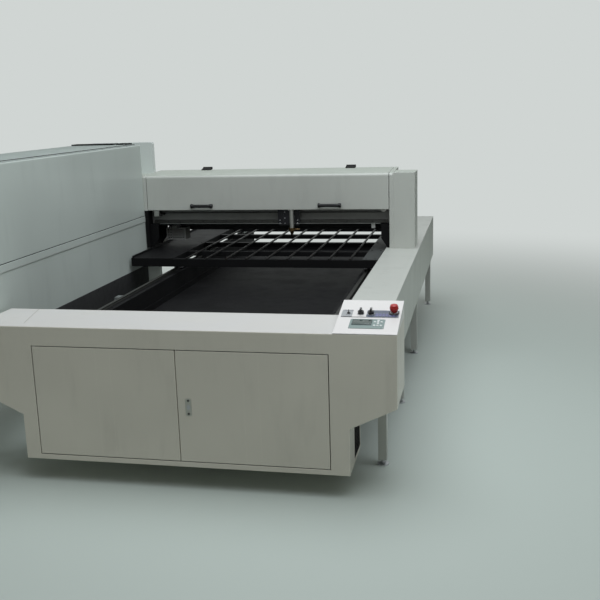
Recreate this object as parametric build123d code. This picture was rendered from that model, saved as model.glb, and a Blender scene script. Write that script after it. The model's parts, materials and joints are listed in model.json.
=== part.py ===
from build123d import *
import math
import os

# Flatbed laser cutting machine for boards. A cutting table travels front to back under a fixed
# bridge, the cutting head travels along the bridge, a laser cabinet stands along the left side
# and a control cabinet with a shelf and a sloped console closes the front.
# X is to the right, Y is to the rear, Z is up. The origin is on the floor, below the middle.

# Overall layout
machine_length = 3820.0
cabinet_width = 450.0
cabinet_gap = 25.0
front_width = 1910.0
sheet = 3.0
run_gap = 0.3
fit_gap = 0.05

# Front control cabinet
shelf_height = 735.0
box_depth = 330.0
box_bottom = 108.0
wing_bottom = 417.0
taper_drop = 97.0
wing_reach = 203.0
shelf_fold = 4.0
vent_setback = 140.0
vent_margin = 18.0
vent_slots = 9
cable_port = 120.0
cable_port_height = 50.0

# Doors of the control cabinet
door_margin = 80.0
split_offset = 6.0
door_height = 508.0
door_bottom = 135.0
door_gap = 4.0
door_depth = 20.0
door_skin = 2.0
door_stay_width = 70.0
door_stay_depth = 12.0
pivot_inset = 7.0
pivot_radius = 3.0
pivot_engage = 24.0
pivot_block = 16.0
pivot_plate = 4.0
pivot_reach = 31.0

# Lock on the right door
lock_offset = 50.0
lock_height = 388.0
lock_plate_width = 28.0
lock_plate_height = 80.0
lock_plate_depth = 1.5
lock_radius = 9.0
lock_face = 2.5
lock_wing = 26.0
cam_length = 66.0
cam_width = 14.0
cam_thickness = 4.0
cam_gap = 3.0

# Electrical plate inside the control cabinet
plate_width = 1260.0
plate_height = 440.0
plate_standoff = 22.0
drive_width = 62.0
drive_height = 170.0
drive_depth = 120.0
drive_pitch = 78.0
drive_count = 4
supply_width = 215.0
supply_height = 115.0
supply_depth = 50.0
relay_width = 22.0
relay_height = 80.0
relay_depth = 62.0
relay_count = 6
duct_width = 40.0
duct_depth = 55.0
duct_wall = 3.0
duct_slots = 24

# Console
console_width = 268.0
console_slope = 11.5
console_lip = 3.0
panel_plate = 2.0
panel_body = 16.0
panel_inset = 4.0
keypad_left = 59.0
keypad_front = 49.0
keypad_width = 148.0
keypad_depth = 89.0
display_left = 11.0
display_front = 33.0
display_width = 81.0
display_depth = 46.0
display_rise = 1.0
key_size = 11.0
key_pitch = 14.0
key_rise = 1.2
switch_left = 12.0
switch_front = 158.0
switch_width = 247.0
switch_depth = 70.0
key_switch_place = (30.0, 33.0)
key_switch_radius = 8.0
selector_places = ((83.0, 33.0), (127.0, 33.0))
selector_radius = 13.0
selector_height = 24.0
pad_place = (148.0, 8.0)
pad_size = 11.0
pad_pitch = 14.5
stop_place = (225.0, 44.0)
stop_radius = 19.0
stop_height = 40.0
stop_collar = 4.0
stop_travel = 4.0
knob_stem = 6.0
knob_bore_depth = 14.0

# Base under the table
foot_height = 30.0
foot_radius = 28.0
foot_disc = 10.0
foot_stem = 8.0
leg_width = 40.0
leg_depth = 60.0
cross_bottom = 400.0
cross_height = 80.0
leg_left_gap = 29.0
leg_frame_setbacks = (370.0, 1250.0, 2255.0)
rear_leg_margin = 20.0
beam_width = 80.0
beam_height = 140.0
tray_setback = 460.0
tray_rear_margin = 200.0
tray_rim = 40.0
tray_gap = 1.5
cover_overhang = 67.0
cover_gap = 14.0
cover_lap = 95.0

# Cutting table
table_setback = 1840.0
table_length = 1950.0
table_travel = 1500.0
table_left_gap = 22.0
wing_width = 287.0
opening_width = 1234.0
right_plate_width = 97.0
table_top = 714.0
table_tube = 40.0
table_tube_height = 50.0
crossbar_first = 318.0
crossbar_pitch = 380.0
crossbar_count = 4
crossbar_height = 30.0
slat_first = 92.0
slat_pitch = 133.2
slat_count = 9
slat_width = 12.0
slat_height = 8.0
plate_thickness = 4.0

# Table drive
guide_width = 20.0
guide_height = 18.0
guide_waist = 2.5
guide_block_width = 60.0
guide_block_length = 100.0
guide_block_lift = 10.0
guide_block_setback = 150.0
screw_radius = 16.0
screw_offset = 45.0
screw_height = 570.0
screw_block = 60.0
nut_length = 90.0
screw_margin = 15.0
motor_size = 80.0
motor_length = 160.0

# Bridge
bridge_setback = 2176.0
lid_depth = 370.0
lid_bottom = 990.0
lid_top = 1225.0
lid_rise = 10.0
lid_fold = 20.0
lid_return = 20.0
lid_gap = 4.0
cap_thickness = 24.0
cap_bottom = 730.0
beam_front = 84.0
bridge_beam_depth = 120.0
bridge_beam_bottom = 890.0
bridge_beam_height = 200.0
bridge_beam_wall = 8.0
pedestal_depth = 220.0
pedestal_left_width = 420.0
pedestal_right_width = 140.0
handle_inset = 386.0
handle_length = 153.0
handle_height = 34.0
handle_reach = 30.0
handle_bar = 22.0
handle_grip = 12.0
handle_lift = 12.0
hinge_insets = (321.0, 296.0)
hinge_width = 65.0
hinge_knuckle = 9.0
hinge_pin = 3.0
hinge_leaf = 3.0
hinge_leaf_reach = 46.0
hinge_back = 8.0
hinge_rise = 10.0
beam_port_radius = 15.0
beam_port_height = 1005.0
beam_port_setback = 20.0

# Head guides, belt and carriage
rail_width = 20.0
rail_depth = 15.0
rail_low = 905.0
rail_high = 1065.0
rail_margin = 18.0
belt_height = 985.0
pulley_radius = 20.0
belt_thickness = 2.2
belt_width = 14.0
belt_standoff = 8.0
idler_margin = 29.0
motor_gap = 4.0
pulley_bore = 6.0
pulley_shaft = 8.0
carriage_width = 150.0
carriage_bottom = 880.0
carriage_top = 1090.0
carriage_plate = 10.0
carriage_block = 50.0
carriage_block_height = 40.0
carriage_block_depth = 26.0
head_place = 692.0
head_travel_left = 700.0
head_travel_right = 480.0
focus_plate = 8.0
focus_width = 67.4
focus_bottom = 885.0
focus_top = 1050.0
focus_rail = 14.0
focus_up = 20.0
focus_down = 80.0
lens_offset = 25.0
lens_radius = 15.0
lens_bottom = 868.0
lens_ring_radius = 22.0
lens_ring_height = 22.0
nozzle_tip = 815.0
nozzle_radius = 4.0
mirror_size = 40.0
fitting_radius = 5.0
fitting_length = 34.0
focus_motor = 42.0
focus_rod = 4.0
focus_rod_gap = 0.4
focus_rod_spare = 10.0

# Fittings under the bridge
bracket_width = 58.0
bracket_drop = 155.0
bracket_depth = 160.0
bracket_wall = 8.0
suction_left = 65.0
suction_width = 140.0
suction_height = 82.0
suction_bottom = 765.0
suction_depth = 100.0
suction_wall = 2.0
suction_hole = 12.0
suction_pitch = 18.0
tray_channel_height = 17.0
tray_channel_inset = 8.0
stop_block_width = 24.0
stop_block_height = 34.0
stop_block_gap = 3.0
mount_place = 45.0
mount_width = 34.0
mount_height = 90.0
mount_bottom = 945.0

# Laser cabinet
hood_top = 1437.0
hood_fold = 12.0
cabinet_setback = 15.0
cabinet_bottom = 417.0
band_bottom = 912.0
band_height = 38.0
band_proud = 3.0
seam_height = 4.0
seam_depth = 2.0
rear_length = 40.0
rear_top = 1441.0
deck_thickness = 6.0
tube_radius = 40.0
tube_length = 1780.0
tube_height = 150.0
tube_neck = 18.0
tube_stand_width = 110.0
tube_stand_depth = 40.0
vent_widths = (297.0, 78.0)
vent_gap = 20.0
vent_length = 100.0
vent_height = 12.0
vent_rear_margin = 48.0
vent_left_margin = 22.0
stand_setbacks = (70.0, 1130.0, 2090.0, 2260.0)
stand_depth = 60.0
stand_inset = 20.0
stand_tie_height = 60.0
service_width = 600.0
service_height = 360.0
service_plate = 2.0
service_lip = 15.0
service_count = 3
floor_port = 120.0

# Places worked out from the dimensions above
total_width = cabinet_width + cabinet_gap + front_width
lock_proud = lock_plate_depth + lock_face
left_x = -total_width / 2
front_y = -(machine_length + lock_proud) / 2 + lock_proud
rear_y = front_y + machine_length
cabinet_face = left_x + cabinet_width
box_left = cabinet_face + cabinet_gap
box_right = box_left + front_width
box_mid = (box_left + box_right) / 2
box_rear = front_y + box_depth
waist_width = front_width - 2 * wing_reach
door_width = (waist_width - door_gap) / 2 - door_margin
waist_left = box_mid - waist_width / 2
waist_right = box_mid + waist_width / 2
door_top = door_bottom + door_height
split_x = box_mid - split_offset
table_left = cabinet_face + table_left_gap
opening_left = table_left + wing_width
opening_right = opening_left + opening_width
table_right = opening_right + right_plate_width
table_front = front_y + table_setback
table_rear = table_front + table_length
table_bottom = table_top - table_tube_height
guide_xs = (opening_left - table_tube / 2, opening_right + table_tube / 2)
cross_top = cross_bottom + cross_height
beam_top = cross_top + beam_height
cover_left = table_right + cover_gap
cover_right = box_right - cover_overhang
leg_right_x = (cover_right - 1.5 * leg_width, cover_right - 0.5 * leg_width)
leg_left_x = (cabinet_face + leg_left_gap, cabinet_face + leg_left_gap + leg_width)
leg_setbacks = leg_frame_setbacks + (machine_length - rear_leg_margin - leg_depth,)
lid_front = front_y + bridge_setback
lid_rear = lid_front + lid_depth
beam_y = (lid_front + beam_front, lid_front + beam_front + bridge_beam_depth)
bridge_beam_top = bridge_beam_bottom + bridge_beam_height
pedestal_y = (lid_front, lid_front + pedestal_depth)
cap_left_x = (cabinet_face, cabinet_face + cap_thickness)
lid_left = cap_left_x[1] + lid_gap
lid_right = table_right + cover_gap + cap_thickness - lid_gap
cap_right_x = (lid_right + lid_gap, lid_right + lid_gap + cap_thickness)
lid_crown = lid_top + lid_rise
hinge_y = lid_rear + hinge_back
hinge_z = lid_crown + hinge_rise
head_x = opening_left + head_place
rail_face = beam_y[0] - rail_depth
carriage_back = beam_y[0] - 2 - carriage_block_depth
carriage_front = carriage_back - carriage_plate
focus_back = carriage_front - run_gap
focus_front = focus_back - focus_plate
lens_x = head_x + lens_offset
lens_y = lid_front + beam_port_setback
pulley_xs = (cap_left_x[1] + idler_margin, cap_right_x[0] - motor_size / 2 - motor_gap)
belt_y = (beam_y[0] - belt_standoff - belt_width, beam_y[0] - belt_standoff)
hood_rear = lid_front
hood_front = front_y + cabinet_setback
band_top = band_bottom + band_height
rear_front = pedestal_y[1]
screw_x = guide_xs[0] - beam_width / 2 - screw_offset
nut_y = (table_front + table_rear) / 2
screw_front = nut_y - table_travel - nut_length / 2 - screw_margin
screw_rear = nut_y + nut_length / 2 + screw_margin


def block(xs, ys, zs):
    """Box between two values on each axis."""
    spans = (xs, ys, zs)
    centre = [(low + high) / 2 for low, high in spans]
    return Pos(*centre) * Box(*[high - low for low, high in spans])


def rod_x(radius, xs, y, z):
    """Round bar along X."""
    return Pos(sum(xs) / 2, y, z) * Rot(0, 90, 0) * Cylinder(radius, xs[1] - xs[0])


def rod_y(radius, x, ys, z):
    """Round bar along Y."""
    return Pos(x, sum(ys) / 2, z) * Rot(90, 0, 0) * Cylinder(radius, ys[1] - ys[0])


def rod_z(radius, x, y, zs):
    """Round bar along Z."""
    return Pos(x, y, sum(zs) / 2) * Cylinder(radius, zs[1] - zs[0])


def prism_x(points, xs):
    """Outline in Y and Z, drawn out along X."""
    plane = Plane(origin=(xs[0], 0, 0), x_dir=(0, 1, 0), z_dir=(1, 0, 0))
    return extrude(plane * make_face(Polyline(*points, close=True)), amount=xs[1] - xs[0])


def prism_y(points, ys):
    """Outline in X and Z, drawn out along Y."""
    plane = Plane(origin=(0, ys[1], 0), x_dir=(1, 0, 0), z_dir=(0, -1, 0))
    return extrude(plane * make_face(Polyline(*points, close=True)), amount=ys[1] - ys[0])


def bodies(*shapes):
    """Separate solids kept together under one name."""
    return Compound(children=[solid for shape in shapes for solid in shape.solids()])


def edge_at(shape, axis, *tests):
    """Edges along an axis whose centre meets each (index, value) test."""
    found = []
    for edge in shape.edges().filter_by(axis):
        centre = edge.center()
        place = (centre.X, centre.Y, centre.Z)
        if all(abs(place[index] - value) < 0.01 for index, value in tests):
            found.append(edge)
    return found


# Front control cabinet

def cabinet_outline(inset):
    """T-shaped front: a wide top over a narrower waist, with slanted shoulders."""
    wing = front_width / 2 - inset
    waist = waist_width / 2 - inset
    top = shelf_height - inset
    slant = math.hypot(taper_drop, (front_width - waist_width) / 2)
    shift = inset * slant / ((front_width - waist_width) / 2)
    taper = taper_drop / ((front_width - waist_width) / 2)
    shoulder = wing_bottom + shift - inset * taper
    neck = wing_bottom - taper_drop + shift - inset * taper
    half = [(wing, top), (wing, shoulder), (waist, neck), (waist, box_bottom + inset)]
    mirrored = [(-x, z) for x, z in reversed(half)]
    return [(box_mid + x, z) for x, z in half + mirrored]


def front_cabinet():
    shell = prism_y(cabinet_outline(0), (front_y, box_rear))
    shell = fillet(edge_at(shell, Axis.X, (1, front_y), (2, shelf_height)), shelf_fold)
    shell -= prism_y(cabinet_outline(sheet), (front_y + sheet, box_rear - sheet))
    half = door_width + 1.5 * door_gap
    shell -= block((split_x - half, split_x + half), (front_y - 1, front_y + sheet + 1),
                   (door_bottom - door_gap, door_top + door_gap))
    shell -= block((waist_right - sheet - 1, waist_right + 1),
                   (front_y + vent_setback, box_rear - vent_margin),
                   (box_bottom + vent_margin, wing_bottom - taper_drop - vent_margin))
    port_z = wing_bottom + cable_port_height
    shell -= block((box_mid + cable_port, box_mid + 2 * cable_port), (box_rear - sheet - 1, box_rear + 1),
                   (port_z, port_z + cable_port_height))
    return shell


def side_vent():
    """Louvred plate that fills the opening in the right side of the waist."""
    ys = (front_y + vent_setback, box_rear - vent_margin)
    zs = (box_bottom + vent_margin, wing_bottom - taper_drop - vent_margin)
    plate = block((waist_right - sheet, waist_right - 1), ys, zs)
    pitch = (zs[1] - zs[0]) / (vent_slots + 1)
    for index in range(vent_slots):
        z = zs[0] + (index + 1) * pitch
        plate -= block((waist_right - sheet - 1, waist_right), (ys[0] + pitch, ys[1] - pitch),
                       (z - pitch / 4, z + pitch / 4))
    return plate


def door_edges(side):
    """Hinge edge and free edge of a door; side is -1 on the left and 1 on the right."""
    free = split_x + side * door_gap / 2
    return free + side * door_width, free


def door(side):
    """Folded pan with hinge blocks at its outer edge and a stiffener down its back."""
    hinge, free = door_edges(side)
    xs = (min(hinge, free), max(hinge, free))
    ys = (front_y, front_y + door_depth)
    zs = (door_bottom, door_top)
    pan = block(xs, ys, zs)
    pan -= block((xs[0] + door_skin, xs[1] - door_skin), (ys[0] + door_skin, ys[1] + 1),
                 (zs[0] + door_skin, zs[1] - door_skin))
    middle = sum(xs) / 2
    stay = (ys[0] + door_skin, ys[0] + door_skin + door_stay_depth)
    stiffener = block((middle - door_stay_width / 2, middle + door_stay_width / 2), stay,
                      (zs[0] + door_skin, zs[1] - door_skin))
    stiffener -= block((middle - door_stay_width / 2 + door_skin, middle + door_stay_width / 2 - door_skin),
                       (stay[0] - 1, stay[1] - door_skin), (zs[0], zs[1]))
    pan += stiffener
    corner = sorted((hinge - side * door_skin / 2, hinge - side * pivot_block))
    for low, high in ((zs[0], zs[0] + pivot_engage), (zs[1] - pivot_engage, zs[1])):
        pan += block(corner, (ys[0] + door_skin / 2, ys[0] + pivot_block), (low, high))
    pivot_x = hinge - side * pivot_inset
    for low, high in ((zs[0] - 1, zs[0] + pivot_engage), (zs[1] - pivot_engage, zs[1] + 1)):
        pan -= rod_z(pivot_radius + fit_gap, pivot_x, ys[0] + pivot_inset, (low, high))
    return pan


def door_right():
    ys = (front_y - 1, front_y + door_depth + 1)
    return door(1) - rod_y(lock_radius + run_gap, split_x + lock_offset, ys, lock_height)


def door_pivots():
    """Four small brackets behind the front panel, each with the pin that a door turns on."""
    parts = []
    for side in (-1, 1):
        pivot_x = door_edges(side)[0] - side * pivot_inset
        xs = (pivot_x - pivot_block, pivot_x + pivot_block)
        ys = (front_y + sheet, front_y + pivot_reach)
        top = door_top + door_gap
        low = door_bottom - door_gap
        reach = pivot_engage - door_gap
        upper = block(xs, ys, (top, top + pivot_plate))
        upper += rod_z(pivot_radius, pivot_x, front_y + pivot_inset, (door_top - reach, top + pivot_plate))
        lower = block(xs, ys, (low - pivot_plate, low))
        pin = (low - pivot_plate, door_bottom + reach)
        lower += rod_z(pivot_radius, pivot_x, front_y + pivot_inset, pin)
        parts += [upper, lower]
    return bodies(*parts)


def lock_plate():
    x = split_x + lock_offset
    xs = (x - lock_plate_width / 2, x + lock_plate_width / 2)
    plate = block(xs, (front_y - lock_plate_depth, front_y),
                  (lock_height - lock_plate_height / 2, lock_height + lock_plate_height / 2))
    plate = fillet(plate.edges().filter_by(Axis.Y), lock_plate_width / 4)
    ys = (front_y - 2 * lock_plate_depth, front_y + 1)
    return plate - rod_y(lock_radius + run_gap, x, ys, lock_height)


def door_lock():
    """Barrel through the door with a turning wing in front and a cam behind."""
    x = split_x + lock_offset
    face = front_y - lock_plate_depth
    cam_y = front_y + door_depth + cam_gap
    turn = rod_y(lock_radius, x, (face - run_gap, cam_y + cam_thickness), lock_height)
    wing = block((x - lock_radius / 3, x + lock_radius / 3), (face - lock_face, face - run_gap),
                 (lock_height - lock_wing / 2, lock_height + lock_wing / 2))
    turn += fillet(wing.edges().filter_by(Axis.Y), lock_radius / 4)
    turn += block((x - cam_width / 2, x + cam_width / 2), (cam_y, cam_y + cam_thickness),
                  (lock_height, lock_height + cam_length))
    return turn


def mounting_plate():
    ys = (box_rear - sheet - plate_standoff - sheet, box_rear - sheet - plate_standoff)
    zs = (door_bottom, door_bottom + plate_height)
    plate = block((box_mid - plate_width / 2, box_mid + plate_width / 2), ys, zs)
    for x in (-1, 1):
        for z in (zs[0] + plate_standoff, zs[1] - plate_standoff):
            place = box_mid + x * (plate_width / 2 - plate_standoff)
            plate += rod_y(plate_standoff / 3, place, (ys[1] - 1, box_rear - sheet), z)
    return plate


def on_plate(left, width, bottom, height, depth):
    """Box that stands on the front of the mounting plate."""
    face = box_rear - 2 * sheet - plate_standoff
    x = box_mid - plate_width / 2 + left
    z = door_bottom + bottom
    return block((x, x + width), (face - depth, face), (z, z + height))


def servo_drives():
    parts = []
    for index in range(drive_count):
        left = drive_pitch / 2 + index * drive_pitch
        unit = on_plate(left, drive_width, plate_height / 2, drive_height, drive_depth)
        front = edge_at(unit, Axis.X, (1, box_rear - 2 * sheet - plate_standoff - drive_depth))
        parts.append(chamfer(front, drive_width / 10))
    return parts


def drive_units():
    return bodies(*servo_drives(), power_supply())


def power_supply():
    left = plate_width - supply_width - drive_pitch / 2
    case = on_plate(left, supply_width, plate_height / 2, supply_height, supply_depth)
    return chamfer(case.edges().filter_by(Axis.Z), supply_depth / 20)


def relay_row():
    parts = []
    for index in range(relay_count):
        left = plate_width / 2 + index * (relay_width + 1)
        relay = on_plate(left, relay_width, plate_height / 2, relay_height, relay_depth)
        relay += on_plate(left + relay_width / 4, relay_width / 2, plate_height / 2 + relay_height / 4,
                          relay_height / 2, relay_depth + relay_width / 2)
        parts.append(relay)
    return parts


def wiring_gear():
    return bodies(*relay_row(), wire_duct())


def wire_duct():
    """Slotted duct along the plate, below the drives."""
    length = plate_width - drive_pitch
    bottom = plate_height / 2 - 1.5 * duct_width
    duct = on_plate(drive_pitch / 2, length, bottom, duct_width, duct_depth)
    duct -= on_plate(drive_pitch / 2 - 1, length + 2, bottom + duct_wall, duct_width - 2 * duct_wall,
                     duct_depth - duct_wall)
    pitch = length / duct_slots
    for index in range(duct_slots):
        left = drive_pitch / 2 + (index + 0.3) * pitch
        slot = on_plate(left, pitch * 0.4, bottom + duct_width - 2 * duct_wall, 3 * duct_wall,
                        duct_depth * 0.8)
        duct -= Pos(0, -duct_depth * 0.1, 0) * slot
    return duct


# Console on the right end of the shelf

console_left = box_right - console_width
console_frame = Location((console_left, front_y, shelf_height + console_lip), (console_slope, 0, 0))
console_slant = box_depth / math.cos(math.radians(console_slope))
console_rise = box_depth * math.tan(math.radians(console_slope))


def on_console(left, front, width, depth, low, high):
    """Box given along the console's slope, from its front left corner."""
    return console_frame * block((left, left + width), (front, front + depth), (low, high))


def console_rod(radius, left, front, low, high):
    """Round piece that stands square to the console's slope."""
    return console_frame * rod_z(radius, left, front, (low, high))


def console_hood():
    """Wedge-shaped hood, open below, with cut-outs for the keypad and the switch plate."""
    def profile(inset, base):
        return [(front_y + inset, shelf_height + base),
                (front_y + inset, shelf_height + console_lip - inset),
                (box_rear - inset, shelf_height + console_lip + console_rise - inset),
                (box_rear - inset, shelf_height + base)]
    hood = prism_x(profile(0, 0), (console_left, box_right))
    hood -= prism_x(profile(sheet, -1), (console_left + sheet, box_right - sheet))
    hood -= on_console(keypad_left + panel_inset, keypad_front + panel_inset, keypad_width - 2 * panel_inset,
                       keypad_depth - 2 * panel_inset, -2 * sheet, 1)
    hood -= on_console(switch_left + panel_inset, switch_front + panel_inset, switch_width - 2 * panel_inset,
                       switch_depth - 2 * panel_inset, -2 * sheet, 1)
    return hood


def keypad_panel():
    """Bezel plate over the cut-out with a shallow body behind it and a recess for the display."""
    panel = on_console(keypad_left, keypad_front, keypad_width, keypad_depth, 0, panel_plate)
    edges = [edge for edge in panel.edges() if abs(edge.length - panel_plate) < 0.01]
    panel = fillet(edges, panel_inset)
    panel += on_console(keypad_left + panel_inset + run_gap, keypad_front + panel_inset + run_gap,
                        keypad_width - 2 * panel_inset - 2 * run_gap,
                        keypad_depth - 2 * panel_inset - 2 * run_gap, -sheet - 1, panel_plate / 2)
    panel -= on_console(keypad_left + display_left, keypad_front + display_front, display_width,
                        display_depth, panel_plate - display_rise, panel_plate + 1)
    return panel


def keypad_keys():
    """Raised key caps of the membrane keypad: a cross of five over a row of three."""
    middle = keypad_left + (display_left + display_width + keypad_width) / 2
    cross = keypad_front + keypad_depth - 2 * key_pitch
    places = [(0, 0), (key_pitch, 0), (-key_pitch, 0), (0, key_pitch), (0, -key_pitch)]
    places += [(step * key_pitch, -2.4 * key_pitch) for step in (-1, 0, 1)]
    parts = []
    for x, y in places:
        parts.append(on_console(middle + x - key_size / 2, cross + y - key_size / 2, key_size, key_size,
                                panel_plate, panel_plate + key_rise))
    return parts


def switch_plate():
    """Plate with the bores that the key switch, the selectors and the stop button sit in."""
    plate = on_console(switch_left, switch_front, switch_width, switch_depth, 0, panel_plate)
    plate += on_console(switch_left + panel_inset + run_gap, switch_front + panel_inset + run_gap,
                        switch_width - 2 * panel_inset - 2 * run_gap,
                        switch_depth - 2 * panel_inset - 2 * run_gap, -panel_body, panel_plate / 2)
    plate += console_rod(stop_radius * 0.95, switch_left + stop_place[0], switch_front + stop_place[1],
                         panel_plate / 2, panel_plate + stop_collar)
    for left, front in (key_switch_place,) + selector_places + (stop_place,):
        plate -= console_rod(knob_stem + fit_gap, switch_left + left, switch_front + front,
                             panel_plate - knob_bore_depth, panel_plate + stop_collar + 1)
    return plate


def switch_pads():
    """Flat pads of the small keypad beside the selectors."""
    parts = []
    for column in range(4):
        for row in range(2):
            parts.append(on_console(switch_left + pad_place[0] + column * pad_pitch,
                                    switch_front + pad_place[1] + row * pad_pitch,
                                    pad_size, pad_size, panel_plate, panel_plate + key_rise))
    return parts


def key_caps():
    return bodies(*keypad_keys(), *switch_pads())


def key_switch():
    left, front = switch_left + key_switch_place[0], switch_front + key_switch_place[1]
    turn = console_rod(knob_stem, left, front, panel_plate - knob_bore_depth + 1, panel_plate + run_gap)
    turn += console_rod(key_switch_radius, left, front, panel_plate + run_gap, panel_plate + stop_collar)
    turn += on_console(left - 1, front - key_switch_radius, 2, 2 * key_switch_radius,
                       panel_plate + stop_collar - 1, panel_plate + 2 * key_switch_radius)
    return turn


def selector(index):
    """Round selector knob with a raised grip bar across it."""
    left, front = (base + place for base, place in zip((switch_left, switch_front), selector_places[index]))
    low = panel_plate + run_gap
    knob = console_rod(knob_stem, left, front, panel_plate - knob_bore_depth + 1, low + 1)
    skirt = console_rod(selector_radius, left, front, low, low + selector_height / 2)
    knob += skirt
    knob += on_console(left - selector_radius / 3, front - selector_radius, 2 * selector_radius / 3,
                       2 * selector_radius, low, low + selector_height)
    return knob


def stop_button():
    """Mushroom button on a stem that slides in the switch plate."""
    left, front = switch_left + stop_place[0], switch_front + stop_place[1]
    base = panel_plate + stop_collar + stop_travel + 1
    profile = [(0, base), (stop_radius * 0.72, base), (stop_radius, base + stop_height * 0.3)]
    profile += [(stop_radius * 0.98, stop_height * 0.75), (stop_radius * 0.8, stop_height),
                (0, stop_height * 1.08)]
    side = make_face(Polyline(*profile, close=True))
    head = revolve(Plane.XZ * side, Axis.Z)
    stem = Pos(0, 0, (base + panel_plate - knob_bore_depth + stop_travel + 1) / 2) * Cylinder(
        knob_stem, base - panel_plate + knob_bore_depth - stop_travel - 1)
    return console_frame * Pos(left, front, 0) * (head + stem)


# Base

def table_portal(setback):
    """Three tubes: left leg, cross tube and a right post that also carries the side cover."""
    ys = (front_y + setback, front_y + setback + leg_depth)
    return [block(leg_left_x, ys, (foot_height, cross_bottom)),
            block((leg_left_x[0], leg_right_x[0]), ys, (cross_bottom, cross_top)),
            block(leg_right_x, ys, (foot_height, shelf_height - sheet))]


def cabinet_portal(setback):
    """Two legs and the tube across them, under the laser cabinet."""
    ys = (front_y + setback, front_y + setback + stand_depth)
    xs = (left_x + stand_inset, cabinet_face - stand_inset)
    tie = cabinet_bottom - stand_tie_height
    return [block((xs[0], xs[0] + leg_width), ys, (foot_height, tie)),
            block((xs[1] - leg_width, xs[1]), ys, (foot_height, tie)),
            block(xs, ys, (tie, cabinet_bottom))]


def leg_frames():
    parts = []
    for setback in leg_setbacks:
        parts += table_portal(setback)
    for setback in stand_setbacks:
        parts += cabinet_portal(setback)
    return bodies(*parts)


def foot(x, y):
    """Levelling foot: a disc with a coned hub and a threaded stem."""
    profile = [(0, 0), (foot_radius, 0), (foot_radius, foot_disc / 2), (foot_stem * 1.5, foot_disc),
               (foot_stem, foot_disc), (foot_stem, foot_height), (0, foot_height)]
    side = make_face(Polyline(*profile, close=True))
    return Pos(x, y, 0) * revolve(Plane.XZ * side, Axis.Z)


def levelling_feet():
    parts = []
    for setback in leg_setbacks:
        y = front_y + setback + leg_depth / 2
        parts += [foot(sum(leg_left_x) / 2, y), foot(sum(leg_right_x) / 2, y)]
    for setback in stand_setbacks:
        y = front_y + setback + stand_depth / 2
        inset = stand_inset + leg_width / 2
        parts += [foot(left_x + inset, y), foot(cabinet_face - inset, y)]
    return bodies(*parts)


def base_beams():
    parts = []
    for x in guide_xs:
        parts.append(block((x - beam_width / 2, x + beam_width / 2), (box_rear, rear_y),
                           (cross_top, beam_top)))
    return bodies(*parts)


def dovetail(width, height, waist):
    """Guide section, centred on its base: a foot, two hollow flanks and a head."""
    half = width / 2
    left = [(-half, 0), (-half, height * 0.35), (-half + waist, height * 0.5),
            (-half + waist, height * 0.62), (-half, height * 0.77), (-half, height)]
    return left + [(-x, z) for x, z in reversed(left)]


def table_guides():
    """Two profiled guides on top of the base beams."""
    parts = []
    for x in guide_xs:
        points = [(x + a, beam_top + b) for a, b in dovetail(guide_width, guide_height, guide_waist)]
        parts.append(prism_y(points, (box_rear + guide_width, rear_y - guide_width)))
    return parts


def scrap_tray():
    """Shallow pan under the table, between the base beams."""
    xs = (guide_xs[0] + beam_width / 2 + tray_gap, guide_xs[1] - beam_width / 2 - tray_gap)
    ys = (front_y + tray_setback, rear_y - tray_rear_margin)
    pan = block(xs, ys, (cross_top, cross_top + tray_rim))
    return pan - block((xs[0] + sheet, xs[1] - sheet), (ys[0] + sheet, ys[1] - sheet),
                       (cross_top + sheet, cross_top + tray_rim + 1))


def side_cover():
    """Folded cover along the right side: outer wall, top and a short inner wall."""
    profile = [(cover_left, shelf_height - cover_lap), (cover_left, shelf_height),
               (cover_right, shelf_height), (cover_right, wing_bottom), (cover_right - sheet, wing_bottom),
               (cover_right - sheet, shelf_height - sheet), (cover_left + sheet, shelf_height - sheet),
               (cover_left + sheet, shelf_height - cover_lap)]
    return prism_y(profile, (box_rear, rear_y))


# Table and its drive

def table_frame():
    """Welded frame: four long tubes, two end tubes, crossbars over the opening and a drive tie."""
    zs = (table_bottom, table_top)
    ys = (table_front + table_tube, table_rear - table_tube)
    parts = []
    for x in (table_left, opening_left - table_tube, opening_right, table_right - table_tube):
        parts.append(block((x, x + table_tube), ys, zs))
    for y in (table_front, table_rear - table_tube):
        parts.append(block((table_left, table_right), (y, y + table_tube), zs))
    for index in range(crossbar_count):
        y = table_front + crossbar_first + index * crossbar_pitch
        parts.append(block((opening_left, opening_right), (y - table_tube / 2, y + table_tube / 2),
                           (table_top - crossbar_height, table_top)))
    parts.append(block((table_left + table_tube, opening_left - table_tube),
                       (nut_y - table_tube, nut_y + table_tube), zs))
    return bodies(*parts)


def table_slats():
    """Long flat bars on the crossbars, which carry the board that is cut."""
    parts = []
    for index in range(slat_count):
        x = opening_left + slat_first + index * slat_pitch
        parts.append(block((x - slat_width / 2, x + slat_width / 2), (table_front, table_rear),
                           (table_top, table_top + slat_height)))
    return bodies(*parts)


def table_plate(xs):
    """Cover plate on the table's frame, over its full length."""
    return block(xs, (table_front, table_rear), (table_top, table_top + plate_thickness))


def guide_blocks():
    """Four bearing blocks under the table, each with a slot that runs over its guide."""
    parts = []
    low = beam_top + guide_block_lift
    for x in guide_xs:
        for y in (table_front + guide_block_setback, table_rear - guide_block_setback - guide_block_length):
            ys = (y, y + guide_block_length)
            part = block((x - guide_block_width / 2, x + guide_block_width / 2), ys, (low, table_bottom))
            slot = guide_width / 2 + run_gap
            part -= block((x - slot, x + slot), (y - 1, ys[1] + 1),
                          (low - 1, beam_top + guide_height + run_gap))
            parts.append(chamfer(edge_at(part, Axis.Y, (2, table_bottom)), guide_block_lift / 2))
    return parts


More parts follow.
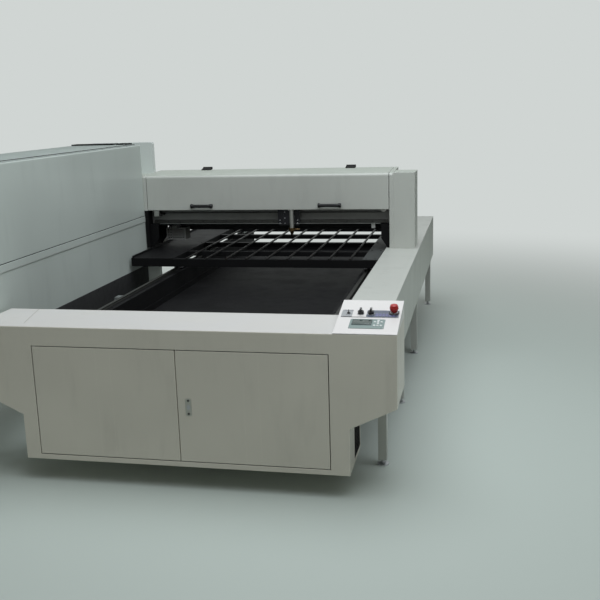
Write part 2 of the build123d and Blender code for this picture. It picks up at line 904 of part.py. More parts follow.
def screw_nut():
    """Nut housing that hangs from the table round the ball screw."""
    xs = (screw_x - screw_block / 2, screw_x + screw_block / 2)
    ys = (nut_y - nut_length / 2, nut_y + nut_length / 2)
    housing = block(xs, ys, (screw_height - screw_block / 2, table_bottom))
    housing = chamfer(edge_at(housing, Axis.Y, (2, screw_height - screw_block / 2)), screw_block / 6)
    return housing - rod_y(screw_radius + run_gap, screw_x, (ys[0] - 1, ys[1] + 1), screw_height)


def table_bearings():
    return bodies(*guide_blocks(), screw_nut())


def screw_bearings():
    """Bearing blocks on the side of the left base beam, one at each end of the screw."""
    parts = []
    beam_side = guide_xs[0] - beam_width / 2
    for low, high in ((screw_front - screw_block, screw_front), (screw_rear, screw_rear + screw_block)):
        part = block((screw_x - screw_block / 2, beam_side), (low, high),
                     (screw_height - screw_block / 2, screw_height + screw_block / 2))
        parts.append(part - rod_y(screw_radius + fit_gap, screw_x, (low - 1, high + 1), screw_height))
    return bodies(*parts)


def table_screw():
    ends = (screw_front - screw_block, screw_rear + screw_block + screw_margin)
    return rod_y(screw_radius, screw_x, ends, screw_height)


def table_motor():
    """Servo motor behind the rear bearing, on a foot plate that bolts to the beam."""
    face = screw_rear + screw_block + 2 * screw_margin
    half = motor_size / 2
    beam_side = guide_xs[0] - beam_width / 2
    case = block((screw_x - half, screw_x + half), (face, face + motor_length),
                 (screw_height - half, screw_height + half))
    case = chamfer(case.edges().filter_by(Axis.Y), motor_size / 10)
    case += block((screw_x - half, beam_side), (face, face + motor_size / 8),
                  (screw_height - half, screw_height + half))
    case += rod_y(screw_radius * 1.4, screw_x, (face - 2 * screw_margin + 1, face + 1), screw_height)
    bore = (face - 2 * screw_margin, face - screw_margin + run_gap)
    return case - rod_y(screw_radius + fit_gap, screw_x, bore, screw_height)


# Bridge

def bridge_beam():
    """Box beam between the pedestals, with holes for the drive shaft of the belt."""
    xs = (cabinet_face, cap_right_x[1])
    zs = (bridge_beam_bottom, bridge_beam_top)
    wall = bridge_beam_wall
    beam = block(xs, beam_y, zs)
    beam -= block((xs[0] - 1, xs[1] + 1), (beam_y[0] + wall, beam_y[1] - wall), (zs[0] + wall, zs[1] - wall))
    beam -= rod_y(pulley_shaft * 1.5, pulley_xs[1], (beam_y[0] - 1, beam_y[1] + 1), belt_height)
    return beam + idler_axle()


def lid_outline(inset, front_low, rear_low):
    """Side view of the lid: upright front, folded edge and a top that rises slightly to the rear."""
    return [(lid_front + inset, front_low), (lid_front + inset, lid_top - inset),
            (lid_rear, lid_crown - inset), (lid_rear, rear_low)]


def bridge_lid():
    """Sheet lid: front and top in one fold, with a narrow return at each end."""
    lid = prism_x(lid_outline(0, lid_bottom, lid_bottom), (lid_left, lid_right))
    lid = fillet(edge_at(lid, Axis.X, (1, lid_front), (2, lid_top)), lid_fold)
    inner = prism_x(lid_outline(sheet, lid_bottom - 1, lid_bottom - 1), (lid_left + sheet, lid_right - sheet))
    inner = fillet(edge_at(inner, Axis.X, (1, lid_front + sheet), (2, lid_top - sheet)), lid_fold - sheet)
    ends = prism_x(lid_outline(lid_return, lid_bottom - 1, lid_bottom - 1), (lid_left - 1, lid_right + 1))
    return lid - inner - ends


def lid_handle(x):
    """Bar handle on two feet."""
    low = lid_bottom + handle_lift
    zs = (low, low + handle_height)
    half = handle_length / 2
    foot_width = handle_height * 0.7
    handle = None
    for side in (-1, 1):
        ends = sorted((x + side * half, x + side * (half - foot_width)))
        post = block(ends, (lid_front - handle_reach, lid_front), zs)
        handle = post if handle is None else handle + post
    middle = sum(zs) / 2
    handle += block((x - half, x + half), (lid_front - handle_reach, lid_front - handle_reach + handle_grip),
                    (middle - handle_bar / 2, middle + handle_bar / 2))
    front = lid_front - handle_reach
    corners = []
    for side in (-1, 1):
        corners += edge_at(handle, Axis.Z, (0, x + side * half), (1, front))
    return fillet(corners, handle_grip / 3)


def lid_handles():
    return bodies(lid_handle(lid_left + handle_inset), lid_handle(lid_right - handle_inset))


hinge_xs = (lid_left + hinge_insets[0], lid_right - hinge_insets[1])


def hinge_spans(x):
    """Left, middle and right knuckle of one hinge."""
    third = hinge_width / 3
    ends = [x - hinge_width / 2 + index * third for index in range(4)]
    return [(low + run_gap / 2, high - run_gap / 2) for low, high in zip(ends, ends[1:])]


def lid_hinge_leaves():
    """Leaves on the lid's top, with the two outer knuckles of each hinge."""
    parts = []
    slope = lid_rise / lid_depth
    for x in hinge_xs:
        left, middle, right = hinge_spans(x)
        low = [(lid_rear - hinge_leaf_reach, lid_crown - slope * hinge_leaf_reach), (lid_rear, lid_crown)]
        arm = [(lid_rear, hinge_z + hinge_knuckle / 2),
               (lid_rear - hinge_leaf_reach, lid_crown + hinge_leaf)]
        leaf = prism_x(low + arm, (left[0], right[1]))
        neck = [(lid_rear - 1, lid_crown), (hinge_y, hinge_z - hinge_knuckle),
                (hinge_y, hinge_z + hinge_knuckle), (lid_rear - 1, hinge_z + hinge_knuckle / 2)]
        for span in (left, right):
            leaf += prism_x(neck, span)
            leaf += rod_x(hinge_knuckle, span, hinge_y, hinge_z)
        gap = (middle[0] - run_gap, middle[1] + run_gap)
        leaf -= rod_x(hinge_knuckle + run_gap, gap, hinge_y, hinge_z)
        leaf -= rod_x(hinge_pin + fit_gap, (left[0] - 1, right[1] + 1), hinge_y, hinge_z)
        parts.append(leaf)
    return bodies(*parts)


def rear_hinge_leaves():
    """Leaves on the rear panel, with the middle knuckle and the pin of each hinge."""
    parts = []
    panel = lid_rear + 1 + sheet
    for x in hinge_xs:
        left, middle, right = hinge_spans(x)
        leaf = block((left[0], right[1]), (panel, panel + hinge_leaf),
                     (hinge_z - hinge_leaf_reach, hinge_z - hinge_knuckle - 2 * run_gap - 1))
        leaf += block(middle, (panel, panel + hinge_leaf), (hinge_z - hinge_leaf_reach, hinge_z))
        leaf += rod_x(hinge_knuckle, middle, hinge_y, hinge_z)
        leaf += rod_x(hinge_pin, (left[0], right[1]), hinge_y, hinge_z)
        parts.append(leaf)
    return bodies(*parts)


def rear_panel():
    return block((cap_left_x[1], cap_right_x[0]), (lid_rear + 1, lid_rear + 1 + sheet),
                 (bridge_beam_bottom, lid_crown - sheet - 1))


def end_cap(xs, bottom):
    """Side cheek of the bridge, cut out for the beam."""
    points = [(lid_front, bottom), (lid_front, lid_top), (lid_rear + 1 + sheet, lid_crown),
              (lid_rear + 1 + sheet, bottom)]
    cap = prism_x(points, xs)
    cap = fillet(edge_at(cap, Axis.X, (1, lid_front), (2, lid_top)), lid_fold)
    return cap - block((xs[0] - 1, xs[1] + 1), beam_y, (bridge_beam_bottom, bridge_beam_top))


def beam_port(xs):
    """Hole that the laser beam passes through."""
    return rod_x(beam_port_radius, xs, lid_front + beam_port_setback, beam_port_height)


def end_caps():
    """Left cheek with the port for the laser beam, and the right one that stands on the side cover."""
    left = end_cap(cap_left_x, cap_bottom) - beam_port((cap_left_x[0] - 1, cap_left_x[1] + 1))
    return bodies(left, end_cap(cap_right_x, shelf_height))


def pedestal_left():
    """Column between the laser cabinet and its rear housing, which carries the beam."""
    xs = (cabinet_face - pedestal_left_width, cabinet_face)
    column = block(xs, pedestal_y, (cabinet_bottom, lid_top))
    column -= block((xs[0] + bridge_beam_wall, xs[1] - bridge_beam_wall),
                    (pedestal_y[0] + bridge_beam_wall, pedestal_y[1] - bridge_beam_wall),
                    (cabinet_bottom - 1, lid_top - bridge_beam_wall))
    return column - beam_port((xs[1] - bridge_beam_wall - 1, xs[1] + 1))


def pedestal_right():
    xs = (cap_right_x[1], cap_right_x[1] + pedestal_right_width)
    column = block(xs, pedestal_y, (shelf_height, lid_top))
    return column - block((xs[0] + bridge_beam_wall, xs[1] - bridge_beam_wall),
                          (pedestal_y[0] + bridge_beam_wall, pedestal_y[1] - bridge_beam_wall),
                          (shelf_height - 1, lid_top - bridge_beam_wall))


def pedestals():
    return bodies(pedestal_left(), pedestal_right())


def bracket(face_x, side):
    """Black angle between an end cap and the underside of the beam."""
    inner = face_x + side * bracket_width
    ys = (beam_y[0] - bracket_depth / 3, beam_y[1])
    low = bridge_beam_bottom - bracket_drop
    points = [(face_x, low), (face_x, bridge_beam_bottom), (inner, bridge_beam_bottom),
              (inner, bridge_beam_bottom - bracket_drop * 0.6), (face_x + side * bracket_wall * 2, low)]
    plate = prism_y(points, ys)
    hollow = sorted((face_x + side * bracket_wall, inner + side))
    return plate - block(hollow, (ys[0] + bracket_wall, ys[1] - bracket_wall),
                         (low - 1, bridge_beam_bottom - bracket_wall))


def suction_box():
    """Small suction box under the beam; its front is a perforated plate."""
    x = cap_left_x[1] + suction_left
    xs = (x, x + suction_width)
    ys = (beam_y[1] - suction_depth * 0.4, beam_y[1] + suction_depth * 0.6)
    zs = (suction_bottom, suction_bottom + suction_height)
    box = block(xs, ys, zs)
    box -= block((xs[0] + suction_wall, xs[1] - suction_wall), (ys[0] + suction_wall, ys[1] - suction_wall),
                 (zs[0] + suction_wall, zs[1] - suction_wall))
    neck = block((x + suction_width * 0.3, x + suction_width * 0.7), (ys[0], beam_y[1]),
                 (zs[1] - suction_wall, bridge_beam_bottom - tray_channel_height))
    box += neck
    columns = int((suction_width - suction_pitch / 2) // suction_pitch)
    rows = int((suction_height - suction_pitch / 2) // suction_pitch)
    for column in range(columns):
        for row in range(rows):
            hole_x = sum(xs) / 2 + (column - (columns - 1) / 2) * suction_pitch
            hole_z = sum(zs) / 2 + (row - (rows - 1) / 2) * suction_pitch
            box -= block((hole_x - suction_hole / 2, hole_x + suction_hole / 2),
                         (ys[0] - 1, ys[0] + suction_wall + 1),
                         (hole_z - suction_hole / 2, hole_z + suction_hole / 2))
    return box


def cable_tray():
    """Black channel along the underside of the beam, open towards it."""
    ys = (beam_y[0] + tray_channel_inset, beam_y[1] - tray_channel_inset)
    xs = (cap_left_x[1] + bracket_width + 1, cap_right_x[0] - bracket_width - 1)
    zs = (bridge_beam_bottom - tray_channel_height, bridge_beam_bottom)
    tray = block(xs, ys, zs)
    return tray - block((xs[0] - 1, xs[1] + 1), (ys[0] + sheet, ys[1] - sheet), (zs[0] + sheet, zs[1] + 1))


def beam_fittings():
    """Brackets at both ends of the beam and the cable channel between them."""
    return bodies(bracket(cap_left_x[1], 1), bracket(cap_right_x[0], -1), cable_tray())


def head_guides():
    """Two profiled guides on the front of the beam."""
    parts = []
    xs = (cap_left_x[1] + rail_margin, cap_right_x[0] - rail_margin)
    for z in (rail_low, rail_high):
        points = [(beam_y[0] - b, z + a) for a, b in dovetail(rail_width, rail_depth, guide_waist)]
        parts.append(prism_x(points, xs))
    return parts


def linear_guides():
    return bodies(*table_guides(), *head_guides())


def travel_stops():
    """Small white stops at both ends of the head's travel."""
    parts = []
    ys = (beam_y[0] - carriage_block_depth, beam_y[0])
    half = carriage_width / 2 - carriage_block / 10
    left = head_x - head_travel_left - half - stop_block_gap
    right = head_x + head_travel_right + half + stop_block_gap
    for xs in ((left - stop_block_width, left), (right, right + stop_block_width)):
        high = rail_low - rail_width / 2 - 1
        low = high - stop_block_height
        stop = block(xs, ys, (low, high))
        stop -= block((xs[0] - 1, xs[1] + 1), (ys[0] + stop_block_width / 2, ys[1] + 1),
                      (low - 1, bridge_beam_bottom))
        parts.append(stop)
    return bodies(*parts)


def head_belt():
    """Closed belt round both pulleys."""
    outer = pulley_radius + run_gap + belt_thickness
    inner = pulley_radius + run_gap
    loop = None
    for radius in (outer, inner):
        body = block(pulley_xs, belt_y, (belt_height - radius, belt_height + radius))
        for x in pulley_xs:
            body += rod_y(radius, x, belt_y, belt_height)
        loop = body if loop is None else loop - body
    return loop


def idler_axle():
    x = pulley_xs[0]
    axle = rod_y(pulley_bore, x, (belt_y[0] - 2, beam_y[0]), belt_height)
    return axle + rod_y(pulley_bore * 2, x, (belt_y[1] + run_gap, beam_y[0]), belt_height)


def idler_pulley():
    x = pulley_xs[0]
    return (rod_y(pulley_radius, x, belt_y, belt_height)
            - rod_y(pulley_bore + fit_gap, x, (belt_y[0] - 1, belt_y[1] + 1), belt_height))


def drive_pulley():
    x = pulley_xs[1]
    return (rod_y(pulley_radius, x, belt_y, belt_height)
            + rod_y(pulley_shaft, x, (belt_y[1] - 1, beam_y[1] + screw_margin), belt_height))


def head_motor():
    """Servo motor on the back of the beam, with a bore for the drive pulley's shaft."""
    x = pulley_xs[1]
    half = motor_size / 2
    case = block((x - half, x + half), (beam_y[1], beam_y[1] + motor_length * 0.7),
                 (belt_height - half, belt_height + half))
    case = chamfer(case.edges().filter_by(Axis.Y), motor_size / 10)
    bore = (beam_y[1] - 1, beam_y[1] + screw_margin + run_gap)
    return case - rod_y(pulley_shaft + fit_gap, x, bore, belt_height)


def drive_motors():
    return bodies(table_motor(), head_motor())


def mirror_mount():
    """Adjustable mirror block where the beam enters the bridge, on an arm from the beam."""
    x = cap_left_x[1] + mount_place
    xs = (x, x + mount_width)
    front = lid_front + sheet + 1
    body = block(xs, (front, front + mount_width), (mount_bottom, mount_bottom + mount_height))
    port = (x - 1, x + mount_width / 2)
    body -= rod_x(beam_port_radius, port, lid_front + beam_port_setback, beam_port_height)
    body = chamfer(edge_at(body, Axis.X, (1, front)), mount_width / 8)
    arm_top = belt_height - pulley_radius - belt_thickness - 1
    return body + block(xs, (front + mount_width - 1, beam_y[0]), (mount_bottom, arm_top - 2))


# Head

def carriage():
    """Carriage plate with two upright rails for the focus slide and a shelf for its motor."""
    half = carriage_width / 2
    ys = (carriage_front, carriage_back)
    plate = block((head_x - half, head_x + half), ys, (carriage_bottom, carriage_top))
    plate = chamfer(plate.edges().filter_by(Axis.Y), carriage_plate)
    for side in (-1, 1):
        inner = head_x + side * (focus_width / 2 + run_gap)
        outer = inner + side * focus_rail
        plate += block(sorted((inner, outer)), (focus_front + run_gap, carriage_front + 1),
                       (carriage_bottom + carriage_plate, carriage_top - carriage_plate))
    shelf = (head_x - focus_motor / 2, head_x + focus_motor / 2)
    plate += block(shelf, (focus_back - focus_motor * 0.6, carriage_back),
                   (carriage_top - 1, carriage_top + focus_plate / 2))
    rod_y_place = (focus_front + focus_back) / 2
    rod = rod_z(focus_rod * 2, head_x, rod_y_place, (carriage_top - 2, carriage_top + focus_plate))
    clamp_top = belt_height - pulley_radius - run_gap - belt_thickness - run_gap
    plate += block(shelf, (carriage_back - 1, belt_y[1]), (clamp_top - carriage_plate, clamp_top))
    return plate - rod


def carriage_blocks():
    """Four bearing blocks behind the carriage plate, slotted over the two guides."""
    parts = []
    for z in (rail_low, rail_high):
        for side in (-1, 1):
            x = head_x + side * (carriage_width / 2 - carriage_block * 0.6)
            xs = (x - carriage_block / 2, x + carriage_block / 2)
            part = block(xs, (carriage_back, carriage_back + carriage_block_depth),
                         (z - carriage_block_height / 2, z + carriage_block_height / 2))
            slot = rail_width / 2 + run_gap
            part -= block((xs[0] - 1, xs[1] + 1), (rail_face - run_gap, beam_y[0]), (z - slot, z + slot))
            parts.append(part)
    return bodies(*parts)


def focus_actuator():
    """Small motor on the carriage whose hollow spindle drives the focus rod."""
    y = (focus_front + focus_back) / 2
    half = focus_motor / 2
    base = carriage_top + focus_plate / 2
    case = block((head_x - half, head_x + half), (y - half, y + half), (base, base + focus_motor))
    case = chamfer(case.edges().filter_by(Axis.Z), focus_motor / 8)
    return case - rod_z(focus_rod + run_gap, head_x, y, (base - 1, base + focus_motor + 1))


def focus_slide():
    """Plate between the carriage rails, with the clamp that holds the lens tube and the lift rod."""
    half = focus_width / 2
    plate = block((head_x - half, head_x + half), (focus_front, focus_back), (focus_bottom, focus_top))
    y = (focus_front + focus_back) / 2
    rod_top = carriage_top + focus_plate / 2 + focus_down + focus_rod_spare
    plate += rod_z(focus_rod - focus_rod_gap, head_x, y, (focus_top - 1, rod_top))
    clamp = block((lens_x - lens_radius * 1.4, lens_x + lens_radius * 1.4), (lens_y, focus_front),
                  (focus_bottom + lens_radius, focus_bottom + lens_radius * 4))
    return plate + (clamp - rod_z(lens_radius, lens_x, lens_y, (focus_bottom, focus_top)))


def head_optics():
    """Lens tube with the angled mirror housing on top."""
    half = mirror_size / 2
    front = lid_front + sheet + 2
    zs = (beam_port_height - half, beam_port_height + half)
    points = [(lens_x - half, zs[0]), (lens_x - half, zs[1] - half / 3), (lens_x - half + half / 3, zs[1]),
              (lens_x + half / 2, zs[1]), (lens_x + half, zs[0] + half), (lens_x + half, zs[0])]
    housing = prism_y(points, (front, focus_front))
    port = rod_x(beam_port_radius * 0.6, (lens_x - half - 1, lens_x), lens_y, beam_port_height)
    return housing - port + rod_z(lens_radius, lens_x, lens_y, (lens_bottom, zs[0] + 1))


def nozzle():
    """Lens ring and cutting nozzle, turned in one profile, with a side fitting for air."""
    ring_low = lens_bottom - lens_ring_height
    profile = [(0, lens_bottom), (lens_ring_radius, lens_bottom), (lens_ring_radius, ring_low),
               (lens_radius, ring_low - nozzle_radius), (nozzle_radius, nozzle_tip),
               (nozzle_radius / 3, nozzle_tip), (nozzle_radius / 3, nozzle_tip + nozzle_radius),
               (0, nozzle_tip + nozzle_radius * 2)]
    body = revolve(Plane.XZ * make_face(Polyline(*profile, close=True)), Axis.Z)
    body = Pos(lens_x, lens_y, 0) * body
    height = lens_bottom - lens_ring_height / 2
    start = lens_x + lens_ring_radius - 1
    body += rod_x(fitting_radius, (start, start + fitting_length), lens_y, height)
    collar = (start + fitting_length * 0.4, start + fitting_length * 0.6)
    return body + rod_x(fitting_radius * 1.5, collar, lens_y, height)


# Laser cabinet

def panel_spans():
    """Front and rear edge of each service panel along the laser cabinet."""
    pitch = (hood_rear - hood_front) / service_count
    middles = [hood_front + (index + 0.5) * pitch for index in range(service_count)]
    return [(middle - service_width / 2, middle + service_width / 2) for middle in middles]


def laser_cabinet():
    """Lower part of the laser cabinet, with the raised band that the hood stands on."""
    xs = (left_x, cabinet_face)
    ys = (hood_front, hood_rear)
    body = block(xs, ys, (cabinet_bottom, band_top))
    body += block((cabinet_face - 1, cabinet_face + band_proud), ys, (band_bottom, band_top))
    body -= block((xs[0] + sheet, xs[1] - sheet), (ys[0] + sheet, ys[1] - sheet),
                  (cabinet_bottom + sheet, band_top + 1))
    low = (cabinet_bottom + band_bottom - service_height) / 2
    zs = (low, low + service_height)
    for span in panel_spans():
        body -= block((xs[0] - 1, xs[0] + service_plate), (span[0] - run_gap, span[1] + run_gap),
                      (zs[0] - run_gap, zs[1] + run_gap))
        body -= block((xs[0] - 1, xs[0] + sheet + 1), (span[0] + service_lip, span[1] - service_lip),
                      (zs[0] + service_lip, zs[1] - service_lip))
    return body


def laser_hood():
    """Long hood over the laser, open below, with a narrow shadow gap along its lower edge."""
    xs = (left_x, cabinet_face)
    ys = (hood_front, hood_rear)
    hood = block(xs, ys, (band_top, hood_top))
    tops = edge_at(hood, Axis.Y, (2, hood_top)) + edge_at(hood, Axis.X, (1, hood_front), (2, hood_top))
    hood = fillet(tops, hood_fold)
    hood -= block((xs[0] + sheet, xs[1] - sheet), (ys[0] + sheet, ys[1] - sheet),
                  (band_top - 1, hood_top - sheet))
    seam = block((xs[0] - 1, xs[1] + 1), (ys[0] - 1, ys[1] + 1), (band_top - 1, band_top + seam_height))
    seam -= block((xs[0] + seam_depth, xs[1] - seam_depth), (ys[0] + seam_depth, ys[1] - seam_depth),
                  (band_top - 2, band_top + seam_height + 1))
    return hood - seam


def hood_vent():
    """Two flat black vent boxes side by side near the rear end of the hood."""
    x = left_x + vent_left_margin
    ys = (hood_rear - vent_rear_margin - vent_length, hood_rear - vent_rear_margin)
    parts = []
    for width in vent_widths:
        vent = block((x, x + width), ys, (hood_top, hood_top + vent_height))
        parts.append(chamfer(vent.edges().filter_by(Axis.Z), vent_height / 2))
        x += width + vent_gap
    return bodies(*parts)


def rear_housing():
    """Tall shallow housing on the back of the left column, with a slot in its floor for leads."""
    xs = (left_x, cabinet_face)
    ys = (rear_front, rear_front + rear_length)
    body = block(xs, ys, (cabinet_bottom, rear_top))
    body = fillet(edge_at(body, Axis.Y, (2, rear_top)), hood_fold)
    body -= block((xs[0] + sheet, xs[1] - sheet), (ys[0] + sheet, ys[1] - sheet),
                  (cabinet_bottom + sheet, rear_top - sheet))
    port = (ys[0] + rear_length / 4, ys[1] - rear_length / 4)
    return body - block((xs[0] + floor_port, xs[1] - floor_port), port,
                        (cabinet_bottom - 1, cabinet_bottom + sheet + 1))


def service_panels():
    """Flush service panels in the outer side of the laser cabinet."""
    low = (cabinet_bottom + band_bottom - service_height) / 2
    return bodies(*[block((left_x, left_x + service_plate), span, (low, low + service_height))
                    for span in panel_spans()])


deck_top = band_bottom - deck_thickness
tube_x = (left_x + cabinet_face) / 2
tube_y = ((hood_front + hood_rear - tube_length) / 2, (hood_front + hood_rear + tube_length) / 2)
tube_z = deck_top + tube_height


def laser_deck():
    """Plate between the cabinet's walls, with the cradles that hold the tube."""
    plate = block((left_x + sheet, cabinet_face - sheet), (hood_front + sheet, hood_rear - sheet),
                  (deck_top - deck_thickness, deck_top))
    return bodies(plate, *tube_cradles())


def laser_tube():
    """Glass laser tube with a narrower neck at each end."""
    neck = tube_radius * 1.5
    body = rod_y(tube_radius, tube_x, (tube_y[0] + neck, tube_y[1] - neck), tube_z)
    return body + rod_y(tube_neck, tube_x, tube_y, tube_z)


def tube_cradles():
    parts = []
    half = tube_stand_width / 2
    for share in (0.2, 0.8):
        y = tube_y[0] + share * tube_length
        ys = (y - tube_stand_depth / 2, y + tube_stand_depth / 2)
        cradle = block((tube_x - half, tube_x + half), ys, (deck_top, tube_z))
        parts.append(cradle - rod_y(tube_radius + run_gap, tube_x, (ys[0] - 1, ys[1] + 1), tube_z))
    return parts


def all_parts():
    return {
        "front_cabinet": front_cabinet(), "side_vent": side_vent(), "door_left": door(-1),
        "door_right": door_right(), "door_pivots": door_pivots(), "lock_plate": lock_plate(),
        "door_lock": door_lock(), "mounting_plate": mounting_plate(), "drive_units": drive_units(),
        "wiring_gear": wiring_gear(), "console_hood": console_hood(), "keypad_panel": keypad_panel(),
        "key_caps": key_caps(), "switch_plate": switch_plate(), "key_switch": key_switch(),
        "selector_left": selector(0), "selector_right": selector(1), "stop_button": stop_button(),
        "leg_frames": leg_frames(), "levelling_feet": levelling_feet(), "base_beams": base_beams(),
        "linear_guides": linear_guides(), "scrap_tray": scrap_tray(), "side_cover": side_cover(),
        "table_frame": table_frame(), "table_slats": table_slats(),
        "wing_plate": table_plate((table_left, opening_left)),
        "right_plate": table_plate((opening_right, table_right)),
        "table_bearings": table_bearings(), "screw_bearings": screw_bearings(),
        "table_screw": table_screw(), "drive_motors": drive_motors(), "bridge_beam": bridge_beam(),
        "bridge_lid": bridge_lid(), "lid_handles": lid_handles(), "lid_hinge_leaves": lid_hinge_leaves(),
        "rear_hinge_leaves": rear_hinge_leaves(), "rear_panel": rear_panel(), "end_caps": end_caps(),
        "pedestals": pedestals(), "beam_fittings": beam_fittings(), "suction_box": suction_box(),
        "travel_stops": travel_stops(), "head_belt": head_belt(), "idler_pulley": idler_pulley(),
        "drive_pulley": drive_pulley(), "mirror_mount": mirror_mount(), "carriage": carriage(),
        "carriage_blocks": carriage_blocks(), "focus_actuator": focus_actuator(),
        "focus_slide": focus_slide(), "head_optics": head_optics(), "nozzle": nozzle(),
        "laser_cabinet": laser_cabinet(), "laser_hood": laser_hood(), "hood_vent": hood_vent(),
        "rear_housing": rear_housing(), "service_panels": service_panels(), "laser_deck": laser_deck(),
        "laser_tube": laser_tube(),
    }


def main():
    os.makedirs("parts", exist_ok=True)
    for name, shape in all_parts().items():
        export_step(shape, f"parts/{name}.step")


main()
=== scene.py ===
"""Flatbed laser cutting machine for boards: finishes, small parts and studio round its frame."""

import json
import math
from functools import cache
from itertools import product

import bmesh
import bpy
from bpy.props import FloatProperty, FloatVectorProperty, IntProperty, PointerProperty
from bpy.types import Operator, Panel, PropertyGroup
from mathutils import Matrix, Vector


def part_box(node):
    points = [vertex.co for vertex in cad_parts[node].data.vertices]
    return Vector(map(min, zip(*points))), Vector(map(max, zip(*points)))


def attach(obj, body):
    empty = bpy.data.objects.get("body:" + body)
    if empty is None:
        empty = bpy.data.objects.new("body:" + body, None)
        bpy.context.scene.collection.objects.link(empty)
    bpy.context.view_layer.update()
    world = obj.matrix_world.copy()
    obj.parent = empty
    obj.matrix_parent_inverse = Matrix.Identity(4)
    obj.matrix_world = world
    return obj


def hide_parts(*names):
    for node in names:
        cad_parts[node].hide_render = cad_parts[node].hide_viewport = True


bl_info = {
    "name": "Board laser cutter",
    "version": (1, 0, 0),
    "blender": (4, 5, 0),
    "location": "View3D > Sidebar > Laser Cutter",
    "description": "Dresses the frame of a flatbed laser cutter with finishes and small parts",
    "category": "Object",
}

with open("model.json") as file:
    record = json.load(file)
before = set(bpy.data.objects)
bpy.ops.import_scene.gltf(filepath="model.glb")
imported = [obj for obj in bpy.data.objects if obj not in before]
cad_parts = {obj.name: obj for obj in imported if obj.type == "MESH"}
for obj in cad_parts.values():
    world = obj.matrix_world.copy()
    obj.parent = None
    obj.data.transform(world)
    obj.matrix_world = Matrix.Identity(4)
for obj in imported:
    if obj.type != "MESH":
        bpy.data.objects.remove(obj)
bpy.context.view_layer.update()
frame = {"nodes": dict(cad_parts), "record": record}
NODES = frame["nodes"]
EVEN = (1.0, 1.0, 1.0)
UP, FRONT, BACK, RIGHT = (0, 0, 1), (0, -1, 0), (0, 1, 0), (1, 0, 0)
DONE = {"FINISHED"}


def srgb(red, green, blue):
    """Screen colour from 0 to 255 as linear light."""
    shares = (value / 255 for value in (red, green, blue))
    return tuple(s / 12.92 if s <= 0.04045 else ((s + 0.055) / 1.055) ** 2.4 for s in shares)


def tinted(colour, factor=1.0, offset=0.0):
    """Colour with each channel scaled and lifted, held at white."""
    return tuple(min(1.0, channel * factor + offset) for channel in colour)


# Node graphs

def arithmetic(operation, swap=False):
    """Operator that adds one Math node."""
    def method(self, other):
        return self.math(operation, *((other, self) if swap else (self, other)))
    return method


class Value:
    """Output socket of a node. Arithmetic on it adds Math nodes to the same tree."""

    def __init__(self, graph, socket):
        self.graph = graph
        self.socket = socket

    def out(self, name):
        """Another output of the same node."""
        return Value(self.graph, self.socket.node.outputs[name])

    def math(self, operation, *values):
        return self.graph.node("ShaderNodeMath", {"operation": operation}, dict(enumerate(values)))

    __add__ = arithmetic("ADD")
    __radd__ = arithmetic("ADD", swap=True)
    __sub__ = arithmetic("SUBTRACT")
    __rsub__ = arithmetic("SUBTRACT", swap=True)
    __mul__ = arithmetic("MULTIPLY")
    __rmul__ = arithmetic("MULTIPLY", swap=True)
    __truediv__ = arithmetic("DIVIDE")
    __rtruediv__ = arithmetic("DIVIDE", swap=True)
    above = arithmetic("GREATER_THAN")
    larger = arithmetic("MAXIMUM")

    def __neg__(self):
        return self * -1.0

    def sine(self):
        return self.math("SINE", self)

    def fraction(self):
        return self.math("FRACT", self)

    def between(self, low, high):
        """0 at low and 1 at high, held outside."""
        inputs = {0: self, 1: low, 2: high, 3: 0.0, 4: 1.0}
        return self.graph.node("ShaderNodeMapRange", {"interpolation_type": "SMOOTHSTEP"}, inputs)


class Graph:
    """Shader or geometry tree whose nodes are added by one method."""

    def __init__(self, tree):
        self.tree = tree

    def node(self, kind, settings=None, inputs=None, output=0):
        made = self.tree.nodes.new(kind)
        for name, value in (settings or {}).items():
            setattr(made, name, value)
        for key, value in (inputs or {}).items():
            self.feed(made.inputs[key], value)
        return Value(self, made.outputs[output])

    def feed(self, socket, value):
        if isinstance(value, Value):
            self.tree.links.new(value.socket, socket)
        else:
            socket.default_value = value


